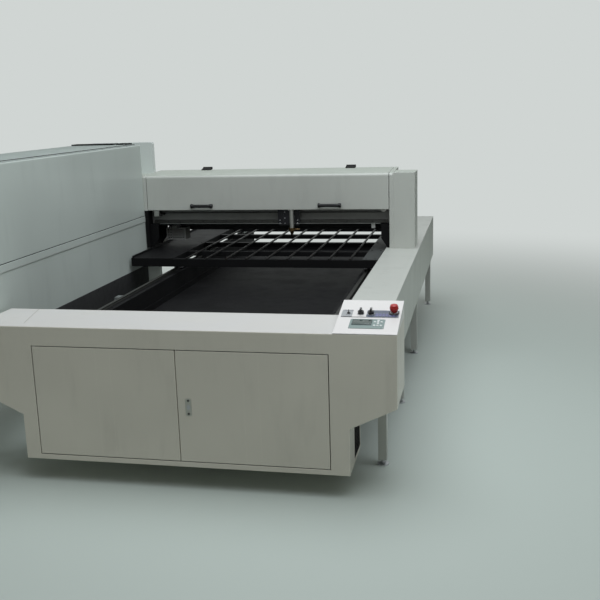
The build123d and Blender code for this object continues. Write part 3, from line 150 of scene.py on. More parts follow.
class Finish(Graph):
    """Material with one Principled shader and the patterns that its surfaces need."""

    def __init__(self, name, **uniform):
        self.material = bpy.data.materials.new(name)
        self.material.use_nodes = True
        super().__init__(self.material.node_tree)
        self.tree.nodes.clear()
        self.surface = self.node("ShaderNodeBsdfPrincipled").socket.node
        self.output = self.tree.nodes.new("ShaderNodeOutputMaterial")
        self.tree.links.new(self.surface.outputs[0], self.output.inputs["Surface"])
        for key, value in uniform.items():
            self.surface.inputs[key.replace("_", " ")].default_value = value

    def set(self, name, value):
        self.feed(self.surface.inputs[name], value)

    def done(self, tint, roughness, height, strength, distance, soft=None):
        """Sets colour, roughness and relief, and gives the finished material."""
        self.set("Base Color", tint)
        self.set("Roughness", roughness)
        self.set("Normal", self.bump(height, strength, distance, soft))
        return self.material

    def pattern(self, kind, output, stretch, **inputs):
        """Texture on object coordinates in metres, stretched for a grain that runs one way."""
        where = self.node("ShaderNodeTexCoord", output="Object")
        place = self.node("ShaderNodeMapping", None, {"Vector": where, "Scale": stretch})
        return self.node(kind, None, {"Vector": place, **inputs}, output)

    def noise(self, scale, detail=3.0, roughness=0.5, stretch=EVEN):
        return self.pattern("ShaderNodeTexNoise", "Fac", stretch,
                            Scale=scale, Detail=detail, Roughness=roughness)

    def cells(self, scale, output="Distance"):
        return self.pattern("ShaderNodeTexVoronoi", output, EVEN, Scale=scale)

    def mix(self, share, first, second):
        """Colour between two others."""
        first, second = (c if isinstance(c, Value) else (*c[:3], 1.0) for c in (first, second))
        return self.node("ShaderNodeMix", {"data_type": "RGBA"}, {0: share, 6: first, 7: second}, 2)

    def coordinate(self, axis, source="Object"):
        """One share of the place on the object, or of another vector."""
        where = self.node("ShaderNodeTexCoord", output=source)
        return self.node("ShaderNodeSeparateXYZ", None, {0: where}, axis)

    def layered(self, tint, *layers):
        """Colour with others laid over it, each with its share."""
        for share, over in layers:
            tint = self.mix(share, tint, over)
        return tint

    def facing_up(self):
        """1 on surfaces that face up and 0 on walls and undersides."""
        return self.coordinate("Z", "Normal").between(0.55, 0.95)

    def ribs(self, axis, pitch):
        """Waves that follow each other along one axis."""
        return (self.coordinate(axis) * (2 * math.pi / pitch)).sine()

    def rounded(self, radius):
        """Normal that runs softly over an edge."""
        return self.node("ShaderNodeBevel", {"samples": 4}, {"Radius": radius})

    def edges(self, soft):
        """1 along edges and 0 on flat surfaces."""
        flat = self.node("ShaderNodeNewGeometry", output="Normal")
        same = self.node("ShaderNodeVectorMath", {"operation": "DOT_PRODUCT"}, {0: soft, 1: flat}, "Value")
        return (1.0 - same).between(0.01, 0.12)

    def bump(self, height, strength, distance, normal=None):
        inputs = {"Height": height, "Strength": strength, "Distance": distance}
        if normal is not None:
            inputs["Normal"] = normal
        return self.node("ShaderNodeBump", None, inputs)


# Finishes

def enamel(name, colour, grime, dusty=0.25, dust_and_shade_tone=(0.9, 0.9, 0.9), gloss=0.36, edge=0.0025, sheen=0.5,
           painted_edge_highlight=0.3):
    """Baked sheet-metal enamel: tint patches, smears, fine orange peel, dust and painted shade on top but not
    on edges, and a painted highlight along the edges.
    """
    finish = Finish(name, IOR=1.48, Coat_Roughness=0.12, Specular_IOR_Level=sheen)
    patches = finish.noise(1.3, 2.0).between(0.35, 0.7)
    smears = finish.noise(9.0, 4.0, 0.6, (1.0, 1.0, 0.25)).between(0.5, 0.82)
    specks = finish.noise(160.0, 2.0).between(0.7, 0.8)
    soft = finish.rounded(edge)
    rim = finish.edges(soft)
    rubbed = rim * finish.noise(24.0).between(0.45, 0.7)
    # Tops get a darker, tinted layer: partly settled dust, partly painted shade.
    dust_and_top_shade = finish.facing_up() * (1.0 - rim) * (finish.noise(5.0).between(0.3, 0.7) * 0.14 + 0.86)
    dirt = tinted(colour, 0.55)
    # The rim layer lays a brighter copy of the paint along the edges: a painted highlight.
    tint = finish.layered(colour, (patches, tinted(colour, 0.9)), (smears * grime, dirt),
                          (specks * grime * 0.6, dirt),
                          (dust_and_top_shade * dusty, tuple(c * t for c, t in zip(colour, dust_and_shade_tone))),
                          (rim * painted_edge_highlight, tinted(colour, 1.5)), (rubbed * 0.12, dirt))
    finish.set("Coat Weight", 0.3 - dust_and_top_shade * dusty * 0.3)
    roughness = gloss + smears * 0.18 + patches * 0.05 + dust_and_top_shade * dusty * 0.3
    rolled = finish.bump(finish.noise(3.5, 1.0), 0.25, 0.0012, soft)
    return finish.done(tint, roughness, finish.noise(420.0, 2.0), 0.12, 0.0002, rolled)


def powder_coat(name, colour, dusty=0.25, gloss=0.5):
    """Powder coat: fine grain, pale dust on top, worn bright at the edges."""
    finish = Finish(name, IOR=1.5, Specular_IOR_Level=0.12)
    soft = finish.rounded(0.0012)
    worn = finish.edges(soft) * finish.noise(60.0, 4.0, 0.65).between(0.5, 0.62)
    grain = finish.noise(900.0, 2.0)
    haze = finish.noise(7.0, 4.0, 0.6).between(0.35, 0.8)
    tint = finish.layered(colour, (haze * 0.3, tinted(colour, 1.8)),
                          (finish.facing_up() * haze * dusty, tinted(colour, 2.0, 0.008)),
                          (worn * 0.6, tinted(colour, 1.0, 0.12)))
    finish.set("Metallic", worn * 0.5)
    return finish.done(tint, gloss + grain * 0.1 + haze * 0.12, grain, 0.25, 0.0003, soft)


def ground_steel(name, colour, along, gloss=0.24):
    """Ground or drawn steel with fine lines along one axis and a thin oil film."""
    finish = Finish(name, Metallic=1.0)
    lines = finish.noise(900.0, 3.0, 0.7, tuple(0.02 if axis == along else 1.0 for axis in "XYZ"))
    film = finish.noise(14.0).between(0.4, 0.75)
    stain = finish.noise(38.0, 5.0, 0.7).between(0.66, 0.8)
    tint = finish.layered(colour, (film * 0.35, tinted(colour, 0.72)), (stain * 0.5, srgb(96, 78, 58)))
    roughness = gloss + lines * 0.16 + film * 0.1 + stain * 0.25
    return finish.done(tint, roughness, lines, 0.12, 0.0002, finish.rounded(0.0006))


def threaded_steel(name, colour, pitch, depth):
    """Ball screw: a rounded helical groove round an axis along Y."""
    finish = Finish(name, Metallic=1.0)
    low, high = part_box("table_screw")
    middle = (low + high) / 2
    side = finish.coordinate("X") - round(middle.x, 4)
    height = finish.coordinate("Z") - round(middle.z, 4)
    angle = side.math("ARCTAN2", height, side)
    turn = (finish.coordinate("Y") / pitch + angle / (2 * math.pi)).fraction()
    groove = (turn * (2 * math.pi)).sine() * 0.5 + 0.5
    film = finish.noise(30.0).between(0.4, 0.75)
    # The tint darkens the hollow of the groove: painted shade.
    tint = finish.layered(tinted(colour, 0.35), (groove.between(0.0, 0.45), colour),
                          (film * 0.3, tinted(colour, 0.6)))
    return finish.done(tint, 0.22 + film * 0.14, groove, 0.9, depth)


def zinc_plate(name, colour, gloss=0.38):
    """Zinc-plated sheet with a faint spangle and white bloom."""
    finish = Finish(name, Metallic=0.9)
    grey = finish.node("ShaderNodeSeparateColor", None, {0: finish.cells(55.0, "Color")})
    bloom = finish.noise(12.0, 5.0, 0.65).between(0.5, 0.8)
    tint = finish.layered(colour, (grey * 0.35, tinted(colour, 0.72)),
                          (bloom * 0.45, srgb(150, 150, 146)))
    return finish.done(tint, gloss + grey * 0.1 + bloom * 0.22, bloom, 0.1, 0.0003, finish.rounded(0.0007))


def machined_alloy(name, colour, gloss=0.3, anodised=0.0):
    """Milled aluminium with tool marks and matt smudges."""
    finish = Finish(name, Metallic=1.0 - anodised * 0.35)
    marks = finish.noise(1400.0, 2.0, 0.6, (0.05, 1.0, 1.0))
    smudge = finish.noise(28.0, 4.0, 0.6).between(0.45, 0.75)
    soft = finish.rounded(0.0007)
    tint = finish.layered(colour, (smudge * 0.35, tinted(colour, 0.7)),
                          (finish.edges(soft) * 0.6 * anodised, tinted(colour, 1.0, 0.3 * anodised)))
    return finish.done(tint, gloss + marks * 0.15 + smudge * 0.15, marks, 0.1, 0.0001, soft)


def charred_steel(name, colour):
    """Slats that have been cut on: soot, rust and bare streaks."""
    finish = Finish(name, Specular_IOR_Level=0.3)
    soot = finish.noise(11.0, 5.0, 0.65).between(0.35, 0.7)
    rust = finish.noise(42.0, 5.0, 0.7, (0.5, 1.0, 1.0)).between(0.56, 0.74)
    scratch = finish.noise(260.0, 2.0, 0.5, (0.08, 1.0, 1.0)).between(0.68, 0.78)
    tint = finish.layered(colour, (soot, tinted(colour, 0.4)), (rust * 0.4, srgb(72, 50, 34)),
                          (scratch * finish.facing_up() * 0.6, srgb(110, 108, 104)))
    roughness = 0.45 + soot * 0.25 + rust * 0.2
    return finish.done(tint, roughness, soot + rust, 0.3, 0.0006, finish.rounded(0.0008))


def moulding(name, colour, gloss, grain=0.35, dusty=0.15):
    """Moulded plastic with a fine spark-eroded grain."""
    finish = Finish(name, IOR=1.46)
    haze = finish.noise(22.0, 4.0, 0.6).between(0.4, 0.75)
    soft = finish.rounded(0.0009)
    worn = finish.edges(soft) * finish.noise(70.0).between(0.45, 0.65)
    pale = tinted(colour, 1.5, 0.04)
    tint = finish.layered(colour, (haze * 0.35, tinted(colour, 0.78)),
                          (finish.facing_up() * haze * dusty, pale), (worn * 0.3, pale))
    return finish.done(tint, gloss + haze * 0.12, finish.cells(1500.0), grain, 0.00012, soft)


def membrane(name, colour, gloss=0.3):
    """Printed film over a panel, slightly rubbed."""
    finish = Finish(name, IOR=1.5, Coat_Weight=0.25, Coat_Roughness=0.25)
    rub = finish.noise(30.0, 4.0, 0.6).between(0.45, 0.75)
    tint = finish.mix(rub * 0.4, colour, tinted(colour, 0.8))
    return finish.done(tint, gloss + rub * 0.2, finish.cells(2200.0), 0.15, 0.0001, finish.rounded(0.0005))


def belt_rubber(name, colour):
    """Moulded belt with fine ribs along its length."""
    finish = Finish(name, IOR=1.5)
    ribs = finish.ribs("Y", 0.0012)
    haze = finish.noise(40.0, 4.0).between(0.35, 0.75)
    return finish.done(finish.mix(haze, colour, tinted(colour, 2.2)), 0.62 + haze * 0.2, ribs, 0.25, 0.0002)


def stop_pair(name, right, left):
    """Travel stops of the head: bare zinc on the right, and on the left painted near black as painted shade.
    """
    finish = Finish(name, Metallic=0.6)
    bloom = finish.noise(60.0, 4.0, 0.6).between(0.4, 0.75)
    tint = finish.layered(left, (finish.coordinate("X").above(0.0), right),
                          (bloom * 0.3, srgb(90, 90, 88)))
    return finish.done(tint, 0.4 + bloom * 0.2, bloom, 0.1, 0.0002, finish.rounded(0.0006))


def turned_brass(name, colour):
    """Lathe-turned brass, dulled by heat near its tip."""
    finish = Finish(name, Metallic=1.0)
    tip, shoulder = 0.817, 0.842
    rings = finish.ribs("Z", 0.0006)
    burnt = 1.0 - finish.coordinate("Z").between(tip, shoulder)
    stain = finish.noise(90.0, 4.0, 0.6).between(0.4, 0.75)
    tint = finish.layered(colour, (stain * 0.45, tinted(colour, 0.55)), (burnt * 0.6, srgb(52, 42, 36)))
    return finish.done(tint, 0.26 + stain * 0.2 + burnt * 0.2, rings, 0.1, 0.0001, finish.rounded(0.0005))


def tube_glass(name):
    """Drawn glass with faint lines along it."""
    finish = Finish(name, IOR=1.47, Transmission_Weight=0.92)
    streaks = finish.noise(60.0, 2.0, 0.5, (1.0, 0.03, 1.0))
    tint = finish.mix(streaks.between(0.4, 0.7), srgb(226, 238, 240), srgb(200, 222, 228))
    return finish.done(tint, 0.04 + streaks * 0.05, streaks, 0.08, 0.0004)


def lit_display(name):
    """Dark display window with faint rows behind the glass."""
    finish = Finish(name, IOR=1.5, Coat_Weight=0.6, Coat_Roughness=0.06)
    line, letter = 0.0105, 0.0062
    rows = (finish.coordinate("Y") * (1 / line)).fraction().between(0.45, 0.6)
    columns = (finish.coordinate("X") * (1 / letter)).fraction().between(0.3, 0.45)
    smear = finish.noise(50.0).between(0.4, 0.8)
    tint = finish.layered(srgb(52, 66, 64), (rows * columns * 0.5, srgb(92, 108, 102)),
                          (smear * 0.15, srgb(120, 128, 120)))
    return finish.done(tint, 0.16 + smear * 0.16, smear, 0.05, 0.0002)


FINISHES = {}


def make_finishes(colours):
    """Materials of the machine, made once from the colours in the settings."""
    front, cabinet, bridge, console, frame_grey, beam_grey, black, steel = (
        tuple(getattr(colours, name)) for name in (
            "front_enamel", "cabinet_enamel", "bridge_enamel", "console_enamel",
            "frame_enamel", "beam_enamel", "black_coat", "bare_steel"))
    FINISHES.update({
        # Each enamel's tone darkens its tops partly as painted shade, most on the cabinet; the edge highlight
        # share paints a highlight along the folds.
        "front_paint": enamel("cream_enamel", front, 0.22, 0.9, (0.84, 0.88, 0.99), edge=0.004, painted_edge_highlight=0.9),
        "cabinet_paint": enamel("white_enamel_cabinet", cabinet, 0.14, 0.95, (0.44, 0.46, 0.46),
                                edge=0.004, sheen=0.25),
        "bridge_paint": enamel("white_enamel_bridge", bridge, 0.2, 0.9, (0.68, 0.72, 0.68),
                               edge=0.006, painted_edge_highlight=0.7),
        "cover_paint": enamel("white_enamel_cover", bridge, 0.3, 0.6, (0.8, 0.8, 0.8)),
        "console_paint": enamel("white_enamel_console", console, 0.08, 0.1, (0.95, 0.95, 0.95), 0.3),
        # Brighter copy of the cabinet enamel, with little dust, for the rear housing: painted light.
        "cabinet_paint_painted_light": enamel("white_enamel_fresh", srgb(218, 225, 221), 0.1, 0.2),
        # Darker copy of the front enamel for the painted shadow line on the shelf.
        "shadow_line_paint": enamel("worn_enamel_seam", tinted(front, 0.55), 0.4, 0.2),
        "frame_paint": enamel("grey_enamel_frame", frame_grey, 0.3, 0.5, gloss=0.42, edge=0.003),
        "beam_paint": enamel("grey_enamel_beam", beam_grey, 0.3, 0.3, gloss=0.45, edge=0.002),
        "black_paint": powder_coat("black_powder_coat", black),
        "slat_steel": charred_steel("charred_slat_steel", srgb(30, 29, 28)),
        "vent_black": powder_coat("black_vent_coat", tinted(black, 0.8), 0.2, 0.6),
        "handle_black": moulding("black_handle_moulding", srgb(22, 23, 24), 0.5),
        "grey_plate": powder_coat("grey_plate_coat", srgb(62, 64, 63), 0.3),
        "suction_grey": powder_coat("grey_suction_coat", srgb(156, 157, 155), 0.3),
        "guide_steel": ground_steel("ground_guide_steel", steel, "Y"),
        "guide_dark": ground_steel("oiled_guide_steel", srgb(74, 74, 72), "X", 0.42),
        "zinc_steel": zinc_plate("zinc_plated_steel", srgb(178, 180, 182)),
        "lock_coat": powder_coat("pale_lock_coat", srgb(176, 177, 168), 0.1, 0.55),
        # The left travel stop is painted near black: painted shade.
        "stop_pair": stop_pair("travel_stop_coats", srgb(186, 188, 186), srgb(20, 20, 21)),
        "aluminium": machined_alloy("milled_aluminium", srgb(168, 168, 164), 0.36),
        "carriage_black": machined_alloy("black_anodised_alloy", srgb(46, 46, 50), 0.36, 1.0),
        "motor_black": powder_coat("black_motor_paint", srgb(40, 41, 44), 0.25, 0.42),
        "brass": turned_brass("turned_brass", srgb(100, 82, 58)),
        "belt_rubber": belt_rubber("belt_rubber", srgb(34, 34, 34)),
        "duct_grey": moulding("grey_duct_plastic", srgb(176, 178, 178), 0.5),
        "keypad_grey": membrane("keypad_film", srgb(124, 142, 138)),
        "switch_grey": membrane("switch_film", srgb(158, 160, 162)),
        "key_plastic": membrane("key_film", srgb(206, 210, 208), 0.34),
        "knob_black": moulding("black_knob_moulding", srgb(26, 26, 28), 0.26, 0.15),
        "stop_red": moulding("red_button_moulding", srgb(168, 24, 22), 0.28, 0.1, 0.08),
        "tube_glass": tube_glass("laser_tube_glass"),
        "screw_thread": threaded_steel("ball_screw_steel", steel, 0.010, 0.0025),
        "strip_steel": ground_steel("bright_strip_steel", srgb(150, 152, 150), "X", 0.3),
        "screw_zinc": zinc_plate("zinc_screw_heads", srgb(196, 198, 200), 0.3),
        "screw_black": machined_alloy("black_screw_heads", srgb(36, 36, 38), 0.38, 0.6),
        "display": lit_display("display_window"),
        "pad_violet": membrane("violet_pad_film", srgb(106, 108, 150)),
        "field_slate": membrane("slate_field_film", srgb(84, 92, 108)),
        "bezel_grey": moulding("grey_display_bezel", srgb(62, 74, 74), 0.4, 0.2),
        "key_round": moulding("pale_key_moulding", srgb(222, 226, 224), 0.35, 0.2),
        "rubber_seal": moulding("black_rubber_seal", srgb(30, 30, 31), 0.68, 0.5),
        "mark_white": moulding("white_mark", srgb(228, 228, 224), 0.4, 0.1),
    })


# Meshes

def islands(node):
    """Low corner, middle and high corner of each separate solid of a node, from left to right."""
    mesh = bmesh.new()
    mesh.from_mesh(NODES[node].data)
    bmesh.ops.remove_doubles(mesh, verts=mesh.verts, dist=1e-6)
    left = set(mesh.verts)
    found = []
    while left:
        group = [left.pop()]
        for vert in group:
            for edge in vert.link_edges:
                other = edge.other_vert(vert)
                if other in left:
                    left.remove(other)
                    group.append(other)
        low = Vector(min(v.co[axis] for v in group) for axis in range(3))
        high = Vector(max(v.co[axis] for v in group) for axis in range(3))
        found.append((low, (low + high) / 2, high))
    mesh.free()
    return sorted(found, key=lambda item: tuple(round(c, 4) for c in item[1]))


def spaced(low, high, count):
    """Even places from low to high, with one at each end."""
    return [low + (high - low) * step / (count - 1) for step in range(count)]


def paced(low, high, pitch):
    """Even places from low to high that lie at least a pitch apart."""
    return spaced(low, high, int((high - low) / pitch) + 1)


def grid(direction, *rows):
    """Places from one or more numbers on each axis, with the way that they face."""
    rows = (row if isinstance(row, (list, tuple)) else (row,) for row in rows)
    return [(place, direction) for place in product(*rows)]


def corner_points(low, high, axis, side, inset):
    """Four corner places on one face of a box, with their outward direction."""
    rows = [(low[index] + inset, high[index] - inset) for index in range(3)]
    rows[axis] = high[axis] if side > 0 else low[axis]
    return grid(tuple(side if index == axis else 0 for index in range(3)), *rows)


def finish_piece(mesh, name, body, finish, angle=30.0):
    """Turns edit geometry into a piece that rides on a body."""
    bmesh.ops.recalc_face_normals(mesh, faces=mesh.faces)
    data = bpy.data.meshes.new(name)
    mesh.to_mesh(data)
    mesh.free()
    return place_piece(data, name, body, finish, angle)


def place_piece(data, name, body, finish, angle=30.0):
    """Piece from a plain mesh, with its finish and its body."""
    data.materials.clear()
    data.materials.append(FINISHES[finish])
    for polygon in data.polygons:
        polygon.use_smooth = True
        polygon.material_index = 0
    data.set_sharp_from_angle(angle=math.radians(angle))
    piece = bpy.data.objects.new(name, data)
    bpy.context.scene.collection.objects.link(piece)
    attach(piece, body)
    return piece


def add_block(mesh, low, high, bevel=0.0, turn=None):
    """Block with broken edges; turn places it from its own axes."""
    low, high = Vector(low), Vector(high)
    place = Matrix.Translation((high + low) / 2) @ Matrix.Diagonal((*(high - low), 1.0))
    made = bmesh.ops.create_cube(mesh, size=1.0, matrix=place)
    if bevel:
        edges = {edge for vert in made["verts"] for edge in vert.link_edges}
        made = bmesh.ops.bevel(mesh, geom=list(edges), offset=bevel, segments=2, profile=0.6, affect="EDGES")
    if turn is not None:
        bmesh.ops.transform(mesh, matrix=turn, verts=made["verts"])


def block_piece(name, body, finish, blocks, bevel=0.0, turn=None):
    """Piece made of blocks, each with two corners and, where it differs, its own bevel."""
    mesh = bmesh.new()
    for low, high, *own in blocks:
        add_block(mesh, low, high, own[0] if own else bevel, turn)
    return finish_piece(mesh, name, body, finish)


def circle(place, radius, height, sides):
    """Points round the upright axis of a place."""
    turns = (2 * math.pi * step / sides for step in range(sides))
    return [place @ Vector((radius * math.cos(turn), radius * math.sin(turn), height)) for turn in turns]


def add_bands(mesh, rings, closed=False):
    """Quads between rings of points. The last meets the first, or both ends get a cap."""
    rings = [[mesh.verts.new(point) for point in ring] for ring in rings]
    pairs = list(zip(rings, rings[1:]))
    if closed:
        pairs.append((rings[-1], rings[0]))
    else:
        mesh.faces.new(list(reversed(rings[0])))
        mesh.faces.new(rings[-1])
    for first, second in pairs:
        for step in range(len(first)):
            after = (step + 1) % len(first)
            mesh.faces.new((first[step], first[after], second[after], second[step]))


def add_turned(mesh, profile, place, sides):
    """Shape of revolution from (radius, height) points, closed at both ends."""
    add_bands(mesh, [circle(place, radius, height, sides) for radius, height in profile])


def ring_piece(name, body, finish, rings, sides=40):
    """Flat rings with square edges, each with its place, radii and heights."""
    mesh = bmesh.new()
    for place, inner, outer, low, high in rings:
        corners = ((inner, low), (outer, low), (outer, high), (inner, high))
        add_bands(mesh, [circle(place, radius, height, sides) for radius, height in corners], closed=True)
    return finish_piece(mesh, name, body, finish)


# Repeats by Geometry Nodes

class Repeats(Graph):
    """Geometry tree with named inputs that ends in Realize Instances and Set Material."""

    def __init__(self, name, **inputs):
        tree = bpy.data.node_groups.new(name, "GeometryNodeTree")
        for label, kind in {"Geometry": "Geometry", **inputs, "Material": "Material"}.items():
            tree.interface.new_socket(name=label, in_out="INPUT", socket_type="NodeSocket" + kind)
        tree.interface.new_socket(name="Geometry", in_out="OUTPUT", socket_type="NodeSocketGeometry")
        super().__init__(tree)
        self.given = self.node("NodeGroupInput")

    def asked(self, name):
        return self.given.out(name)

    def close(self, instances):
        real = self.node("GeometryNodeRealizeInstances", None, {0: instances})
        inputs = {"Geometry": real, "Material": self.asked("Material")}
        done = self.node("GeometryNodeSetMaterial", None, inputs)
        end = self.tree.nodes.new("NodeGroupOutput")
        self.tree.links.new(done.socket, end.inputs[0])
        return self.tree

    def facing(self):
        """Rotation that points Z the way that each point faces."""
        way = self.node("GeometryNodeInputNamedAttribute", {"data_type": "FLOAT_VECTOR"}, {"Name": "facing"})
        return self.node("FunctionNodeAlignRotationToVector", {"axis": "Z"}, {"Vector": way})

    def drum(self, height):
        """Round or many-sided blank."""
        size = {"Vertices": self.asked("Sides"), "Radius": self.asked("Radius"), "Depth": height}
        return self.node("GeometryNodeMeshCylinder", {"fill_type": "NGON"}, size)

    def raised(self, mesh, top, rise):
        inputs = {"Mesh": mesh, "Selection": top, "Offset Scale": rise}
        return self.node("GeometryNodeExtrudeMesh", {"mode": "FACES"}, inputs)

    def narrowed(self, mesh, top, scale):
        inputs = {"Geometry": mesh, "Selection": top, "Scale": scale}
        return self.node("GeometryNodeScaleElements", {"domain": "FACE"}, inputs)

    def copies(self, points, shape, rotation):
        inputs = {"Points": points, "Instance": shape, "Rotation": rotation}
        return self.node("GeometryNodeInstanceOnPoints", None, inputs)


@cache
def screw_head_tree():
    """Screw head: a chamfered disc with a socket, or a washer-faced hexagon."""
    graph = Repeats("screw_heads", Sides="Int", Radius="Float", Height="Float", Socket="Float")
    height = graph.asked("Height")
    blank = graph.drum(height * 2)
    crown = graph.raised(blank, blank.out("Top"), height * 0.3)
    chamfer = graph.narrowed(crown, crown.out("Top"), 0.84)
    rim = graph.raised(chamfer, crown.out("Top"), 0.0)
    inner = graph.narrowed(rim, rim.out("Top"), graph.asked("Socket"))
    head = graph.raised(inner, rim.out("Top"), -height * 0.6)
    return graph.close(graph.copies(graph.asked("Geometry"), head, graph.facing()))


@cache
def bar_row_tree():
    """Row of equal bars, set by count, start, step, size and tilt."""
    graph = Repeats("bar_row", Count="Int", Start="Vector", Step="Vector", Size="Vector", Tilt="Vector")
    bar = graph.node("GeometryNodeMeshCube", None, {"Size": graph.asked("Size")})
    start, step = graph.asked("Start"), graph.asked("Step")
    inputs = {"Count": graph.asked("Count"), "Start Location": start, "Offset": step}
    row = graph.node("GeometryNodeMeshLine", {"mode": "OFFSET"}, inputs)
    return graph.close(graph.copies(row, bar, graph.asked("Tilt")))


@cache
def key_tree():
    """Low round or square key with a stepped edge."""
    graph = Repeats("keys", Sides="Int", Radius="Float", Height="Float", Turn="Vector")
    blank = graph.drum(graph.asked("Height"))
    crown = graph.raised(blank, blank.out("Top"), graph.asked("Height") * 0.4)
    key = graph.narrowed(crown, crown.out("Top"), 0.8)
    placed = graph.copies(graph.asked("Geometry"), key, graph.facing())
    inputs = {"Instances": placed, "Rotation": graph.asked("Turn")}
    return graph.close(graph.node("GeometryNodeRotateInstances", None, inputs))


def grow(name, points, tree, values, body, finish):
    """Runs a tree once on loose points, each with its direction, and keeps the plain mesh that it gives."""
    data = bpy.data.meshes.new(name + "_points")
    data.from_pydata([tuple(place) for place, _ in points], [], [])
    facing = data.attributes.new("facing", "FLOAT_VECTOR", "POINT")
    for index, (_, direction) in enumerate(points):
        facing.data[index].vector = direction
    source = bpy.data.objects.new(name + "_points", data)
    bpy.context.scene.collection.objects.link(source)
    modifier = source.modifiers.new("repeats", "NODES")
    modifier.node_group = tree
    sockets = {s.name: s.identifier for s in tree.interface.items_tree if s.in_out == "INPUT"}
    for label, value in {**values, "Material": FINISHES[finish]}.items():
        modifier[sockets[label]] = value
    bpy.context.view_layer.update()
    graph = bpy.context.evaluated_depsgraph_get()
    plain = bpy.data.meshes.new_from_object(source.evaluated_get(graph), depsgraph=graph)
    if not plain.polygons:
        raise RuntimeError(f"{name} came out empty")
    plain.name = name
    bpy.data.objects.remove(source)
    bpy.data.meshes.remove(data)
    return place_piece(plain, name, body, finish)


def bar_row(name, finish, count, start, step, size, tilt=0.0):
    """Row of bars on the machine's own body."""
    values = {"Count": count, "Start": start, "Step": step, "Size": size, "Tilt": (tilt, 0.0, 0.0)}
    return grow(name, [((0, 0, 0), UP)], bar_row_tree(), values, "machine", finish)


def screws(name, body, points, radius, height, black=False, sides=20, socket=0.5):
    """Screw heads on given places. Each head is sunk by half of its shank."""
    slot, finish = ("carriage_black", "screw_black") if black else ("zinc_steel", "screw_zinc")
    values = {"Sides": sides, "Radius": radius, "Height": height / 1.3, "Socket": socket}
    return grow(name, points, screw_head_tree(), values, body, finish)


def bolts(name, body, points, radius, height):
    """Hexagon heads with a small dimple."""
    return screws(name, body, points, radius, height, sides=6, socket=0.3)


# Console face, with places in millimetres from its front left corner

CONSOLE_SLOPE = math.radians(11.5)
CONSOLE_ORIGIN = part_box("console_hood")[0] + Vector((0.0, 0.0, 0.003))
CONSOLE = Matrix.Translation(CONSOLE_ORIGIN) @ Matrix.Rotation(CONSOLE_SLOPE, 4, "X")
CONSOLE_UP = (0.0, -math.sin(CONSOLE_SLOPE), math.cos(CONSOLE_SLOPE))
PLATE_FACE = 2.0
FILM_FACE = 2.3
DISPLAY = (72, 84, 149, 126)
BEZEL = (68.5, 80.5, 152.5, 129.5)
SWITCH_ROW = 191
KNOBS = {"selector_left": 95, "selector_right": 139}
KNOB_TOP = 26.3
KEY_SWITCH = 42
MARK_RADIUS = 19
STOP_PLACE = (237, 202)
SWITCH_PLATE_FRONT = 158
PAD_ROW = 171.5
EXTRA_PADS = (223.5, 238.0)


def console_place(right, back, height=0.0):
    """Axes at a place on the console."""
    return CONSOLE @ Matrix.Translation(Vector((right, back, height)) / 1000)


def console_piece(name, finish, blocks, bevel=0.0):
    """Flat piece on the console, from blocks in millimetres."""
    blocks = [(Vector(low) / 1000, Vector(high) / 1000) for low, high in blocks]
    return block_piece(name, "machine", finish, blocks, bevel, CONSOLE)


# Settings

def paint(name, description, *screen):
    """Colour setting with a default from 0 to 255."""
    return FloatVectorProperty(name=name, description=description, subtype="COLOR", size=3, min=0.0, max=1.0,
                               default=srgb(*screen))


class CutterColours(PropertyGroup):
    """Paint and metal colours of the machine."""

    front_enamel: paint("Front enamel", "Enamel of the front control cabinet and its doors", 214, 209, 196)
    cabinet_enamel: paint("Cabinet enamel", "Enamel of the laser cabinet and its hood", 193, 202, 196)
    bridge_enamel: paint("Bridge enamel", "Enamel of the bridge lid, end plates and pedestals", 193, 196, 189)
    console_enamel: paint("Console enamel", "Enamel of the sloped console", 226, 223, 220)
    frame_enamel: paint("Frame enamel", "Enamel of the legs and base beams", 186, 188, 182)
    beam_enamel: paint("Beam enamel", "Enamel of the cross beam inside the bridge", 134, 135, 133)
    black_coat: paint("Black coat", "Powder coat of the table frame and small brackets", 16, 16, 17)
    bare_steel: paint("Bare steel", "Ground steel of the guides and the ball screw", 186, 188, 190)


class CutterSizes(PropertyGroup):
    """Sizes of the small parts that finish the machine."""

    panel_screw: FloatProperty(
        name="Panel screw radius", description="Radius of the heads that hold covers and panels",
        unit="LENGTH", min=0.002, max=0.01, default=0.0055)
    frame_bolt: FloatProperty(
        name="Frame bolt radius", description="Radius of the bolt heads on the frame and the end plates",
        unit="LENGTH", min=0.003, max=0.015, default=0.0085)
    rail_screw_pitch: FloatProperty(
        name="Rail screw pitch", description="Distance between the screws of a guide rail",
        unit="LENGTH", min=0.03, max=0.2, default=0.08)
    belt_pitch: FloatProperty(
        name="Belt pitch", description="Distance between two teeth of the belt",
        unit="LENGTH", min=0.003, max=0.02, default=0.01)
    louvre_count: IntProperty(
        name="Louvres", description="Slats across each vent on the laser cabinet", min=4, max=30, default=7)


class CutterStage(PropertyGroup):
    """Studio round the machine."""

    floor_colour: paint("Floor colour", "Colour of the studio floor", 187, 197, 190)
    backdrop_colour: paint("Backdrop colour", "Even colour that the floor runs into far behind the machine",
                           208, 213, 211)
    overhead: FloatProperty(
        name="Overhead light", description="Power of the large soft light above the machine",
        unit="POWER", min=0.0, max=5000.0, default=194.0)
    fill: FloatProperty(
        name="Rear fill", description="Power of the soft light behind the machine on its left",
        unit="POWER", min=0.0, max=5000.0, default=110.0)
    ambient: FloatProperty(
        name="Ambient light", description="Strength of the even light from all round",
        min=0.0, max=2.0, default=0.145)
    focal: FloatProperty(
        name="Focal length", description="Focal length for a frame that is 36 mm wide",
        unit="CAMERA", min=10.0, max=200.0, default=52.086)


# Operators

